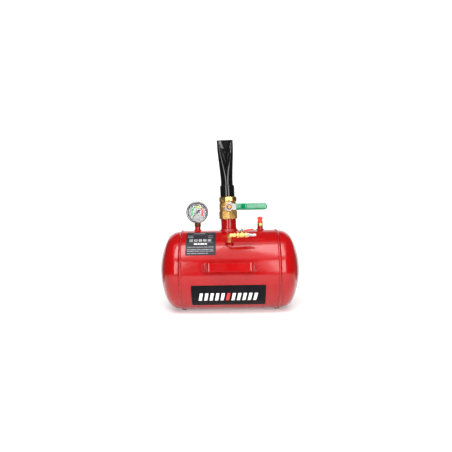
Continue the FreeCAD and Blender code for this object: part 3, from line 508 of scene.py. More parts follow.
class Form:
    """A mesh under construction, in millimetres."""

    def __init__(self) -> None:
        """Starts an empty mesh."""
        self.mesh = bmesh.new()

    def rings(self, rings: Sequence[Sequence[Vector]], place: Matrix = IDENTITY, closed: bool = False,
              capped: bool = False) -> "Form":
        """Skins a run of rings with equal numbers of points.

        Args:
            rings: The rings, each a closed loop of points.
            place: Where the rings stand.
            closed: Whether the last ring joins the first.
            capped: Whether both end rings get a face.

        Returns:
            This form.
        """
        verts = [[self.mesh.verts.new(place @ point) for point in ring] for ring in rings]
        count = len(verts[0])
        pairs = list(zip(verts, verts[1:])) + ([(verts[-1], verts[0])] if closed else [])
        for low, high in pairs:
            for step in range(count):
                after = (step + 1) % count
                self.mesh.faces.new((low[step], low[after], high[after], high[step]))
        if capped:
            self.mesh.faces.new(list(reversed(verts[0])))
            self.mesh.faces.new(verts[-1])
        return self

    def lathe(self, outline: Sequence[Point2], place: Matrix = IDENTITY, steps: int = 96,
              limit: Optional[Callable[[float], float]] = None) -> "Form":
        """Turns a closed (radius, height) outline about Z.

        Args:
            outline: The outline's points; those with no radius lie on the axis.
            place: Where the turned form stands.
            steps: Steps round the axis.
            limit: Greatest radius at an angle, for wrench flats.

        Returns:
            This form.
        """
        def ring(radius: float, height: float) -> list[Vector]:
            """One ring of points.

            Args:
                radius: The ring's radius.
                height: Its height.

            Returns:
                Its points.
            """
            spots = []
            for step in range(steps):
                angle = 2 * math.pi * step / steps
                reach = min(radius, limit(angle)) if limit else radius
                spots.append(Vector((reach * math.cos(angle), reach * math.sin(angle), height)))
            return spots
        rows = []
        for radius, height in outline:
            if radius < 1e-6:
                rows.append([self.mesh.verts.new(place @ Vector((0, 0, height)))])
            else:
                rows.append([self.mesh.verts.new(place @ spot) for spot in ring(radius, height)])
        for low, high in zip(rows, rows[1:] + rows[:1]):
            for step in range(steps):
                after = (step + 1) % steps
                corners = [low[step % len(low)], low[after % len(low)],
                           high[after % len(high)], high[step % len(high)]]
                corners = list(dict.fromkeys(corners))
                if len(corners) > 2:
                    self.mesh.faces.new(corners)
        return self

    def nut(self, sides: int, across_flats: float, low: float, high: float, bore: float,
            place: Matrix = IDENTITY, chamfer: float = 0.8) -> "Form":
        """Makes a wrench prism with turned-off corners and a bore.

        Args:
            sides: Number of flats.
            across_flats: Distance between flats.
            low: Lower face.
            high: Upper face.
            bore: Radius of the bore.
            place: Where it stands.
            chamfer: Height of the turned-off corners.

        Returns:
            This form.
        """
        corner = across_flats / 2 / math.cos(math.pi / sides) + 0.3
        flat = across_flats / 2
        outline = rounded([
            (bore, low, 0.15), (flat - 0.35, low, 0.15), (corner, low + chamfer, 0.0),
            (corner, high - chamfer, 0.0), (flat - 0.35, high, 0.15), (bore, high, 0.15)], 3)
        return self.lathe(outline, place, 24 * sides, polygon_limit(sides, across_flats))

    def thread(self, radius: float, depth: float, pitch: float, low: float, high: float,
               place: Matrix = IDENTITY) -> "Form":
        """Makes a screwed rod.

        Args:
            radius: Radius over the crests.
            depth: Depth of the thread.
            pitch: Rise of a turn.
            low: Lower end.
            high: Upper end.
            place: Where it stands.

        Returns:
            This form.
        """
        steps, rows = 36, max(8, int((high - low) / pitch * 8))
        rings = []
        for row in range(rows + 1):
            height = low + (high - low) * row / rows
            fade = min(1.0, 3.0 * min(row, rows - row) / rows + 0.35)
            ring = []
            for step in range(steps):
                share = (height / pitch - step / steps) % 1.0
                crest = radius * fade - depth * abs(2 * share - 1)
                reach = crest if fade > 0.99 else (radius - depth) * (0.94 + 0.06 * fade)
                angle = 2 * math.pi * step / steps
                ring.append(Vector((reach * math.cos(angle), reach * math.sin(angle), height)))
            rings.append(ring)
        return self.rings(rings, place, capped=True)

    def strip(self, outline: Sequence[Point2], thickness: float, line: BentLine, place: Matrix,
              edge: float = 0.4, cuts: float = 1.5) -> "Form":
        """Makes a flat plate bent along a line, with broken edges.

        Args:
            outline: The flat outline as (distance along the line, across).
            thickness: Thickness of the plate, on the line's left.
            line: The line that the plate follows.
            place: Where the line's frame stands.
            edge: Width of the broken edges.
            cuts: Spacing of the cuts that let it bend.

        Returns:
            This form.
        """
        work = bmesh.new()
        low = [work.verts.new((u, w, 0.0)) for u, w in outline]
        high = [work.verts.new((u, w, thickness)) for u, w in outline]
        bottom, top = work.faces.new(list(reversed(low))), work.faces.new(high)
        for step in range(len(outline)):
            after = (step + 1) % len(outline)
            work.faces.new((low[step], low[after], high[after], high[step]))
        work.normal_update()
        rims = list(bottom.edges) + list(top.edges)
        bmesh.ops.bevel(work, geom=rims, offset=edge, segments=2, affect="EDGES", profile=0.6)
        start, end = min(u for u, _ in outline), max(u for u, _ in outline)
        cut = start + cuts
        while cut < end:
            parts = list(work.verts) + list(work.edges) + list(work.faces)
            bmesh.ops.bisect_plane(work, geom=parts, plane_co=(cut, 0, 0), plane_no=(1, 0, 0))
            cut += cuts
        for vert in work.verts:
            spot, normal = line.at(vert.co.x)
            flat = spot + normal * vert.co.z
            vert.co = place @ Vector((flat.x, vert.co.y, flat.y))
        return self.add(work)

    def sleeve(self, line: BentLine, start: float, end: float, half_width: float, half_thick: float,
               middle: float, place: Matrix, power: float = 3.2, ribs: float = 0.0) -> "Form":
        """Makes a dipped sleeve with a rounded closed end.

        Args:
            line: The line that the sleeve follows.
            start: Distance where it begins.
            end: Distance where it ends.
            half_width: Half its width.
            half_thick: Half its thickness.
            middle: Offset of its middle from the line, along the normal.
            place: Where the line's frame stands.
            power: Squareness of the section.
            ribs: Height of shallow finger ribs.

        Returns:
            This form.
        """
        steps, rows = 48, 90
        rings = []
        for row in range(rows + 1):
            distance = start + (end - start) * (1 - (1 - row / rows) ** 1.6)
            left = max(end - distance, 0.0)
            cap = half_width
            swell = 1.0 if left > cap else math.sqrt(max(1 - ((cap - left) / cap) ** 2, 0.0))
            tuck = (half_thick - left) / half_thick
            thin = 1.0 if left > half_thick else math.sqrt(max(1 - tuck ** 2, 0.0))
            lip = 1.0 + 0.05 * math.exp(-((distance - start) / 1.4) ** 2)
            wave = ribs * math.sin(distance * 0.9) if left > cap else 0.0
            spot, normal = line.at(min(distance, line.length))
            over = distance - line.length
            ring = []
            for step in range(steps):
                angle = 2 * math.pi * step / steps
                cos, sin = math.cos(angle), math.sin(angle)
                across = math.copysign(abs(cos) ** (2 / power), cos) * half_width * max(swell, 0.02) * lip
                thick = half_thick * max(thin, 0.02) * lip + wave * abs(sin)
                away = math.copysign(abs(sin) ** (2 / power), sin) * thick
                flat = spot + normal * (middle + away)
                if over > 0:
                    flat = flat + Vector((normal.y, -normal.x)) * over
                ring.append(Vector((flat.x, across, flat.y)))
            rings.append(ring)
        return self.rings(rings, place, capped=True)

    def bead(self, route: Sequence[Vector], radius: float, up: Callable[[Vector], Vector],
             place: Matrix = IDENTITY, closed: bool = False, pitch: float = 2.2,
             rise: float = 0.16) -> "Form":
        """Lays a weld bead with its ripples along a route.

        Args:
            route: Points of the route.
            radius: Radius of the bead.
            up: Gives the direction away from the plate at a point.
            place: Where the route stands.
            closed: Whether the route closes.
            pitch: Spacing of the ripples.
            rise: Height of the ripples, as a share of the radius.

        Returns:
            This form.
        """
        steps = 12
        rings = []
        travelled = 0.0
        count = len(route)
        for index, spot in enumerate(route):
            ahead = route[(index + 1) % count] if closed or index < count - 1 else spot
            behind = route[index - 1] if closed or index else spot
            way = (ahead - behind).normalized()
            travelled += (spot - behind).length if index else 0.0
            lift = up(spot)
            side = way.cross(lift).normalized()
            swell = 1 + rise * abs(math.sin(math.pi * travelled / pitch)) - rise / 2
            swell *= 1 + 0.07 * noise.noise(spot * 0.11)
            ring = []
            for step in range(steps):
                angle = 2 * math.pi * step / steps
                offset = side * (math.cos(angle) * radius * 1.25) + lift * (math.sin(angle) * radius)
                ring.append(spot + offset * swell - way * (0.25 * pitch * abs(math.cos(angle))))
            rings.append(ring)
        return self.rings(rings, place, closed=closed, capped=not closed)

    def add(self, other: bmesh.types.BMesh) -> "Form":
        """Takes in another mesh and frees it.

        Args:
            other: The mesh to take in.

        Returns:
            This form.
        """
        scratch = bpy.data.meshes.new("scratch")
        other.to_mesh(scratch)
        other.free()
        self.mesh.from_mesh(scratch)
        bpy.data.meshes.remove(scratch)
        return self

    def piece(self, name: str, finish: Finishes, body: str, replaced: Sequence[str] = (),
              crease: float = 32.0) -> bpy.types.Object:
        """Turns the form into a finished object in metres.

        Args:
            name: Name of the piece.
            finish: Its finish.
            body: The body that it rides on.
            replaced: The nodes that it stands for.
            crease: Angle in degrees above which an edge stays sharp.

        Returns:
            The object.
        """
        bmesh.ops.recalc_face_normals(self.mesh, faces=self.mesh.faces)
        bmesh.ops.scale(self.mesh, vec=(MM, MM, MM), verts=self.mesh.verts)
        data = bpy.data.meshes.new(name)
        self.mesh.to_mesh(data)
        self.mesh.free()
        data.polygons.foreach_set("use_smooth", [True] * len(data.polygons))
        data.set_sharp_from_angle(angle=math.radians(crease))
        obj = bpy.data.objects.new(name, data)
        bpy.context.scene.collection.objects.link(obj)
        data.materials.append(finish.value.material())
        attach(obj, body)
        if replaced:
            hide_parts(*replaced)
        log.info("piece %s: %d faces, %s", name, len(data.polygons), finish.value.name)
        return obj


def dress(node: str, finish: Finishes) -> None:
    """Gives a node of the frame its finish.

    Args:
        node: The node's name.
        finish: Its finish.
    """
    obj = frame["nodes"][node]
    for slot in obj.material_slots:
        slot.material = finish.value.material()
    log.info("node %s: %s", node, finish.value.name)


# ---------------------------------------------------------------- shared places


@dataclass(frozen=True)
class Places:
    """Frames of the sub-assemblies, in millimetres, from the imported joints."""

    neck_lean: float = 1.55
    lean_z: float = 88.0
    valve_turn: float = 4.3
    barrel_lean: float = 0.45
    barrel_z: float = 242.0
    fill_phi: float = 45.2

    def joint(self, name: str) -> dict:
        """One joint of the frame."""
        return next(joint for joint in frame["joints"] if joint["name"] == name)

    def stack(self) -> Matrix:
        """Frame of the leaning neck, valve and barrel.

        Returns:
            The frame.
        """
        lift = Matrix.Translation((0, 0, self.lean_z))
        lean = Matrix.Rotation(math.radians(-self.neck_lean), 4, "Y")
        return lift @ lean @ lift.inverted() @ Matrix.Rotation(math.radians(self.valve_turn), 4, "Z")

    def barrel(self) -> Matrix:
        """Frame of the barrel, which leans a little more.

        Returns:
            The frame.
        """
        lift = Matrix.Translation((0, 0, self.barrel_z))
        lean = Matrix.Rotation(math.radians(-self.barrel_lean), 4, "Y")
        return self.stack() @ lift @ lean @ lift.inverted()

    def valve_centre(self) -> Matrix:
        """Frame at the main ball's centre, with the flow along Z.

        Returns:
            The frame.
        """
        pivot = Vector(self.joint("main_lever_turn")["pos_m"]) / MM
        height = (self.stack().inverted() @ pivot).z
        return self.stack() @ Matrix.Translation((0, 0, height))

    def lever(self) -> Matrix:
        """Frame of the main lever: X along the arm, Z away from the valve."""
        level = Matrix.Rotation(math.radians(self.neck_lean), 4, "Y")
        return self.valve_centre() @ level @ Matrix.Rotation(math.radians(90), 4, "X")

    def fill_centre(self) -> Vector:
        """The middle of the fill valve's ball."""
        return Vector(self.joint("fill_lever_turn")["pos_m"]) / MM

    def fill_flow(self) -> Matrix:
        """Frame at the fill valve's ball, with Z along the flow and -Y up."""
        basis = Matrix(((0, 0, 1), (-1, 0, 0), (0, -1, 0))).to_4x4()
        return Matrix.Translation(self.fill_centre()) @ basis

    def on_front(self, degrees: float, x: float = 0.0) -> Matrix:
        """Frame whose Z stands out of the tank's front at an angle above the horizontal."""
        return Matrix.Translation((x, 0, 0)) @ Matrix.Rotation(math.radians(90 - degrees), 4, "X")


PLACES = Places()


def middle_x(node: str) -> float:
    """Middle of a node along X, in millimetres."""
    low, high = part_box(node)
    return (low.x + high.x) / 2 / MM


# ---------------------------------------------------------------- tank


@dataclass
class Tank:
    """The pressure tank with its welds, bosses, shoes and handle."""

    shell_r: float = 125.0
    head_r: float = 122.5
    seam_x: float = 148.5
    wall: float = 2.5
    skirt: float = 10.0
    crown_r: float = 221.6
    knuckle_r: float = 42.31
    neck_r: float = 24.15
    boss_r: float = 9.0
    strap_half: float = 12.5
    strap_t: float = 3.0
    strap_reach: float = 157.0
    strap_grip_half: float = 64.3
    strap_foot_in: float = 69.5
    strap_foot_out: float = 82.0
    strap_phi: float = 9.75

    def build(self) -> None:
        """Builds and dresses the whole tank."""
        for node in ("tank_shell", "neck_pipe"):
            dress(node, Finishes.RED)
        for node in ("shoe_left", "shoe_right"):
            dress(node, Finishes.RED_WELD)
        self.heads()
        self.seams()
        self.standing_welds()
        self.bosses()
        self.strap()
        self.strap_welds()

    def dish(self, inset: float) -> list[Point2]:
        """Half the line of a dished head, from its middle to its skirt.

        Args:
            inset: Distance inside the outer skin.

        Returns:
            The points as (radius, height).
        """
        crown, knuckle, end = self.crown_r - inset, self.knuckle_r - inset, self.seam_x + self.skirt
        across = self.head_r - inset - knuckle
        drop = math.sqrt((crown - knuckle) ** 2 - across ** 2)
        tilt = math.atan2(across, drop)
        points = [(0.0, end - drop + crown)]
        for step in range(1, 25):
            angle = tilt * step / 24
            points.append((crown * math.sin(angle), end - drop + crown * math.cos(angle)))
        for step in range(1, 21):
            angle = tilt + (math.pi / 2 - tilt) * step / 20
            points.append((across + knuckle * math.sin(angle), end + knuckle * math.cos(angle)))
        return points

    def heads(self) -> None:
        """Spins the two heads, whose skirts slip inside the shell."""
        low = self.seam_x - self.skirt
        skirt = [(self.head_r, low), (self.head_r - self.wall, low)]
        outline = self.dish(0.0) + skirt + self.dish(self.wall)[::-1]
        for side, name in ((-1, "left"), (1, "right")):
            place = Matrix.Rotation(math.radians(90 * side), 4, "Y")
            Form().lathe(outline, place, 192).piece(
                "dished_head_" + name, Finishes.RED, "tank", ["tank_head_" + name], 40.0)

    def seams(self) -> None:
        """Lays the rippled weld beads round both lap joints."""
        form = Form()
        steps, pitch = 900, 4.2
        ripples = round(2 * math.pi * self.shell_r / pitch)
        profile = [(-3.9, 0.0, 0.0), (-3.2, 0.75, 0.25), (-2.2, 1.55, 0.55), (-0.9, 2.2, 0.85),
                   (0.4, 2.35, 1.0), (1.8, 1.9, 0.9), (3.0, 0.9, 0.6), (4.0, -0.4, 0.35),
                   (5.0, -1.7, 0.15), (5.8, -2.7, 0.0)]
        for side in (-1, 1):
            rings = []
            for step in range(steps):
                angle = 2 * math.pi * step / steps
                ring = []
                for x, rise, share in profile:
                    wave = abs(math.sin(ripples * angle / 2 + 0.09 * (x - 1) ** 2))
                    wander = 0.5 * noise.noise(Vector((math.cos(angle), math.sin(angle), side)) * 3.0)
                    radius = self.shell_r + rise + share * (0.32 * wave - 0.30) - 0.1
                    across = side * (self.seam_x + x + wander)
                    ring.append(Vector((across, radius * math.cos(angle), radius * math.sin(angle))))
                ring += [Vector((side * (self.seam_x + 5.8), (self.head_r - 1.5) * math.cos(angle),
                                 (self.head_r - 1.5) * math.sin(angle))),
                         Vector((side * (self.seam_x - 3.9), (self.head_r + 1.0) * math.cos(angle),
                                 (self.head_r + 1.0) * math.sin(angle)))]
                rings.append(ring)
            form.rings(rings, closed=True)
        form.piece("seam_beads", Finishes.RED_WELD, "tank", ["seam_welds"], 60.0)

    def weld_ring(self, form: Form, place: Matrix, pipe_r: float, foot_r: float, height: float) -> None:
        """Adds a rippled fillet weld round a pipe that stands on the barrel.

        Args:
            form: The form to add to.
            place: Frame of the pipe, whose Z is its axis through the tank's middle.
            pipe_r: Radius of the pipe.
            foot_r: Radius at the weld's toe.
            height: Height of the weld on the pipe.
        """
        steps = int(foot_r * 16)
        ripples = int(2 * math.pi * foot_r / 2.4)
        rings = []
        for step in range(steps):
            angle = 2 * math.pi * step / steps
            cos, sin = math.cos(angle), math.sin(angle)
            ring = []
            for row in range(9):
                share = row / 8
                radius = pipe_r - 0.3 + (foot_r - pipe_r + 0.3) * share
                surface = math.sqrt(self.shell_r ** 2 - (radius * sin) ** 2)
                sag = height * ((1 - share) ** 1.55) + 0.55 * math.sin(math.pi * share)
                ripple = 0.22 * math.sin(math.pi * share) * abs(math.sin(ripples * angle / 2 + 1.2 * share))
                ring.append(Vector((radius * cos, radius * sin, surface + sag + ripple - 0.25 * share)))
            for radius in (foot_r, pipe_r - 0.3):
                surface = math.sqrt(self.shell_r ** 2 - (radius * sin) ** 2)
                ring.append(Vector((radius * cos, radius * sin, surface - 1.6)))
            rings.append(ring)
        form.rings(rings, place, closed=True)

    def standing_welds(self) -> None:
        """Builds the fillet welds of the neck and the three bosses."""
        neck = Form()
        self.weld_ring(neck, PLACES.stack(), self.neck_r, 30.6, 7.0)
        neck.piece("neck_weld_bead", Finishes.RED_WELD, "tank", ["neck_weld"], 60.0)
        bosses = Form()
        for node, phi in (("gauge_boss", 90.0), ("safety_boss", 90.0), ("fill_boss", PLACES.fill_phi)):
            self.weld_ring(bosses, PLACES.on_front(phi, middle_x(node)), self.boss_r, 13.9, 4.2)
        bosses.piece("boss_weld_beads", Finishes.RED_WELD, "tank", ["boss_welds"], 60.0)

    def bosses(self) -> None:
        """Builds the three half couplings with rounded rims."""
        low, high, bore = 118.0, 136.6, 6.6
        for node, phi in (("gauge_boss", 90.0), ("safety_boss", 90.0), ("fill_boss", PLACES.fill_phi)):
            outline = rounded([(bore, low, 0.2), (self.boss_r, low, 0.2), (self.boss_r, high, 0.7),
                               (bore, high, 0.4)])
            form = Form().lathe(outline, PLACES.on_front(phi, middle_x(node)), 72)
            form.piece(node + "_turned", Finishes.RED, "tank", [node])

    def strap_line(self) -> BentLine:
        """The strap's inner line, from the left foot to the right.

        Returns:
            The line.
        """
        low, high = self.shell_r + 0.02, self.strap_reach - self.strap_t
        half = [(self.strap_grip_half - 1.2, high), (self.strap_foot_in, low), (self.strap_foot_out, low)]
        return BentLine([(-x, z) for x, z in reversed(half)] + half, 4.5)

    def strap(self) -> None:
        """Builds the bent carrying strap with half-round feet."""
        line = self.strap_line()
        radius = self.strap_half - 0.01
        outline = []
        for end, turn in ((line.length, -90.0), (0.0, 90.0)):
            centre = end - radius if end else radius
            for step in range(25):
                angle = math.radians(turn + 180 * step / 24)
                outline.append((centre + radius * math.cos(angle), radius * math.sin(angle)))
        place = PLACES.on_front(self.strap_phi)
        form = Form().strip(outline, self.strap_t, line, place, 0.55, 1.6)
        form.piece("carry_strap", Finishes.RED, "tank", ["handle_strap"], 14.0)

    def strap_welds(self) -> None:
        """Lays the bead round each foot of the strap."""
        form = Form()
        place = PLACES.on_front(self.strap_phi)
        reach = self.strap_half + 0.6
        for side in (-1, 1):
            route = [Vector((self.strap_foot_in + 2.5, -reach, 0))]
            for step in range(61):
                angle = math.radians(-90 + 180 * step / 60)
                x = self.strap_foot_out - self.strap_half + reach * math.cos(angle)
                route.append(Vector((max(x, self.strap_foot_in + 0.5), reach * math.sin(angle), 0)))
            spots = []
            for spot in route:
                z = math.sqrt(self.shell_r ** 2 - spot.y ** 2) + 0.7
                spots.append(Vector((side * spot.x, spot.y, z)))
            form.bead(spots, 1.7, lambda spot: Vector((0, spot.y, spot.z)).normalized(), place)
        form.piece("strap_beads", Finishes.RED_WELD, "tank", ["handle_welds"], 60.0)


# ---------------------------------------------------------------- ball valve


@dataclass
class MainValve:
    """The brass ball valve with its steel lever and green grip; heights are from the ball's centre."""

    across_flats: float = 54.0
    sides: int = 8
    body_r: float = 27.0
    inlet: float = -39.0
    collar: float = -13.0
    split: float = 12.0
    nut: float = 16.0
    outlet: float = 32.0
    port_r: float = 16.5
    chamber_r: float = 23.6
    seat_out: float = 22.08
    seat_back: float = 25.07
    boss_r: float = 11.9
    boss_top: float = 38.0
    gland_top: float = 44.5
    gland_af: float = 20.0
    stem_r: float = 6.0
    thread_r: float = 4.6
    lever_seat: float = 48.0
    lever_t: float = 3.0
    lever_end: float = 115.0
    bends: tuple[Point2, Point2] = ((38.6, 0.0), (51.8, 9.0))
    grip_start: float = 21.6
    grip_end: float = 117.5
    grip_half: float = 10.15
    grip_t: float = 7.6

    def build(self) -> None:
        """Builds and dresses the valve."""
        self.body()
        self.end_piece()
        self.stem_end()
        self.arm()
        self.grip()
        for node, finish in (("valve_ball", Finishes.NICKEL), ("valve_seats", Finishes.PTFE),
                             ("valve_stem", Finishes.BRASS_TURNED), ("stem_packing", Finishes.PTFE)):
            dress(node, finish)

    def body(self) -> None:
        """Builds the cast body: wrench end, round belly, stem boss and stop lug."""
        place = PLACES.valve_centre()
        corner = self.across_flats / 2 / math.cos(math.pi / self.sides) + 0.3
        flat, inner = self.across_flats / 2, 24.15
        form = Form().lathe(rounded([
            (inner, self.inlet, 0.3), (flat - 0.9, self.inlet, 0.3), (corner, self.inlet + 2.2, 0),
            (corner, self.collar - 2.4, 0), (flat - 0.4, self.collar + 0.2, 0.6),
            (self.chamber_r, self.collar + 0.2, 0),
            (self.chamber_r, -self.seat_out, 0), (self.port_r, -self.seat_out, 0.3),
            (self.port_r, -self.seat_back, 0.3), (inner, -self.seat_back, 0)], 3),
            place, 192, polygon_limit(self.sides, self.across_flats, 70.0))
        belly = [(23.7, self.collar - 1.5, 0), (self.body_r - 0.9, self.collar - 1.5, 0),
                 (self.body_r - 0.9, self.collar + 0.8, 0.6), (self.body_r + 0.15, self.collar + 2.4, 1.0),
                 (self.body_r + 0.45, -4.0, 4.0), (self.body_r + 0.45, 4.0, 4.0),
                 (self.body_r, self.split - 1.4, 0.8),
                 (self.body_r - 1.2, self.split, 0.5), (23.7, self.split, 0)]
        form.lathe(rounded(belly, 4), place, 144)
        stand = place @ Matrix.Rotation(math.radians(90), 4, "X")
        boss = [(self.stem_r + 0.05, 20, 0), (self.boss_r + 2.5, 22, 0), (self.boss_r + 0.3, 27.5, 2.5),
                (self.boss_r, self.boss_top - 1.0, 0.6), (self.boss_r - 1.0, self.boss_top, 0.4),
                (self.stem_r + 0.05, self.boss_top, 0.2)]
        form.lathe(rounded(boss, 4), stand, 96)
        self.lug(form)
        self.cast_marks(form, place)
        form.piece("valve_casting", Finishes.BRASS_CAST, "tank", ["valve_body"], 30.0)

    def lug(self, form: Form) -> None:
        """Adds the stop lug beside the gland.

        Args:
            form: The form to add to.
        """
        lever = PLACES.lever()
        outline = rounded([(-3.0, 12.2, 0.5), (3.0, 12.2, 0.5), (3.0, 17.4, 1.2), (-3.0, 17.4, 1.2)], 4)
        rings = []
        for height, share in ((20.0, 1.0), (self.boss_top + 4.9, 1.0), (self.boss_top + 5.5, 0.86)):
            rings.append([Vector((-(14.8 + (y - 14.8) * share), x * share, height)) for x, y in outline])
        form.rings(rings, lever, capped=True)

    def cast_marks(self, form: Form, place: Matrix) -> None:
        """Adds the raised flow arrow on the belly's left and right.

        Args:
            form: The form to add to.
            place: Frame of the valve.
        """
        for side in (-1, 1):
            arrow = [(-1.2, -6.5), (1.2, -6.5), (1.2, 1.5), (3.4, 1.5), (0.0, 6.5), (-3.4, 1.5), (-1.2, 1.5)]
            rings = []
            for lift in (self.body_r - 0.6, self.body_r + 0.9):
                ring = []
                for across, along in arrow:
                    angle = math.radians(-90 + side * 52) + across / self.body_r
                    ring.append(Vector((lift * math.cos(angle), lift * math.sin(angle), along)))
                rings.append(ring)
            form.rings(rings, place, capped=True)

    def end_piece(self) -> None:
        """Builds the screwed end piece with its octagon and groove."""
        place = PLACES.valve_centre()
        corner = self.across_flats / 2 / math.cos(math.pi / self.sides) + 0.3
        flat = self.across_flats / 2
        form = Form().lathe(rounded([
            (self.chamber_r, self.nut, 0), (flat - 1.1, self.nut, 0.4), (corner, self.nut + 2.4, 0),
            (corner, self.outlet - 2.6, 0), (flat - 0.9, self.outlet, 0.4), (21.0, self.outlet, 0.3),
            (21.0, self.seat_back, 0), (self.port_r, self.seat_back, 0.3), (self.port_r, self.seat_out, 0.3),
            (self.chamber_r, self.seat_out, 0)], 3), place, 192,
            polygon_limit(self.sides, self.across_flats, 70.0, 0.1))
        form.lathe(rounded([
            (self.chamber_r, self.split - 5, 0), (24.9, self.split - 5, 0), (24.9, self.split + 0.1, 0),
            (25.5, self.split + 0.1, 0.3), (25.5, self.nut + 0.5, 0),
            (self.chamber_r, self.nut + 0.5, 0)], 3),
            place, 120)
        form.piece("valve_end_turned", Finishes.BRASS_TURNED, "tank", ["valve_end_piece"], 30.0)

    def stem_end(self) -> None:
        """Builds the gland nut, the stem's thread, the red washer and the lever nut."""
        stand = PLACES.valve_centre() @ Matrix.Rotation(math.radians(90), 4, "X")
        Form().nut(6, self.gland_af, self.boss_top, self.gland_top, self.stem_r + 0.05, stand).piece(
            "gland_nut_turned", Finishes.BRASS_TURNED, "tank", ["gland_nut"], 30.0)
        lever = PLACES.lever()
        face = self.lever_seat + self.lever_t
        Form().lathe(rounded([(self.thread_r, face, 0.1), (8.3, face, 0.4), (8.3, face + 1.2, 0.5),
                              (self.thread_r, face + 1.2, 0.2)]), lever, 72).piece(
            "lever_ring", Finishes.RED_VINYL, "lever_arm", ["lever_washer"], 40.0)
        form = Form().nut(6, 14.0, face + 1.2, face + 7.0, self.thread_r, lever, 1.0)
        form.lathe(rounded([(self.thread_r, face + 6.5, 0), (5.6, face + 6.5, 0), (5.2, face + 8.0, 0.5),
                            (self.thread_r, face + 8.0, 0.2)], 3), lever, 72)
        # The lock nut takes the darkened zinc, which is painted shade.
        form.piece("lever_lock_nut", Finishes.ZINC_NUT_PAINTED_SHADE, "lever_arm", ["lever_nut"], 30.0)
        Form().thread(self.thread_r, 0.5, 1.25, face + 5.0, 60.0, lever).piece(
            "stem_thread", Finishes.BRASS_TURNED, "lever_arm", crease=50.0)

    def lever_line(self) -> BentLine:
        """The lever's inner line, from the root to the tip.

        Returns:
            The line.
        """
        (first, _), (second, step) = self.bends
        seat = self.lever_seat
        arm = seat + step
        return BentLine([(-18.0, seat), (first, seat), (second, arm), (self.lever_end, arm)], 7.0)

    def arm(self) -> None:
        """Builds the pressed steel arm with its round root, stiffening waist and stop tabs."""
        line = self.lever_line()
        start = 18.0
        root, arm = 13.0, 7.0
        outline: list[Point2] = []
        for step in range(31):
            angle = math.radians(48 + 264 * step / 30)
            outline.append((start + root * math.cos(angle), root * math.sin(angle)))
        outline += rounded([(start + 10.5, -9.6, 2.0), (start + 20.0, -9.4, 3.0), (start + 27.0, -arm, 4.0),
                            (line.length - 7.0, -arm, 0.0)], 5)[4:]
        for step in range(1, 20):
            angle = math.radians(-90 + 180 * step / 20)
            outline.append((line.length - arm + arm * math.cos(angle), arm * math.sin(angle)))
        outline += rounded([(line.length - 7.0, arm, 0.0), (start + 27.0, arm, 4.0), (start + 20.0, 9.4, 3.0),
                            (start + 10.5, 9.6, 2.0)], 5)[:-4]
        form = Form().strip(outline, self.lever_t, line, PLACES.lever(), 0.35, 1.8)
        self.tabs(form)
        form.piece("lever_arm_plate", Finishes.ZINC, "lever_arm", ["lever"], 14.0)

    def tabs(self, form: Form) -> None:
        """Adds the two stop tabs that meet the lug.

        Args:
            form: The form to add to.
        """
        for angle in (204.0, 66.0):
            turn = PLACES.lever() @ Matrix.Rotation(math.radians(angle), 4, "Z")
            seat = self.lever_seat
            side = BentLine([(10.0, seat), (13.9, seat), (13.9, seat - 6.6)], 0.4)
            outline = [(0.0, -2.5), (side.length, -2.5), (side.length, 2.5), (0.0, 2.5)]
            form.strip(outline, 3.0, side, turn, 0.3, 0.8)

    def grip(self) -> None:
        """Builds the dipped green grip."""
        line = self.lever_line()
        form = Form().sleeve(line, 18.0 + self.grip_start, line.length + self.grip_end - self.lever_end,
                             self.grip_half, self.grip_t / 2, self.lever_t / 2, PLACES.lever(), 3.0)
        form.piece("green_grip", Finishes.GREEN, "lever_arm", ["lever_grip"], 50.0)


# ---------------------------------------------------------------- barrel


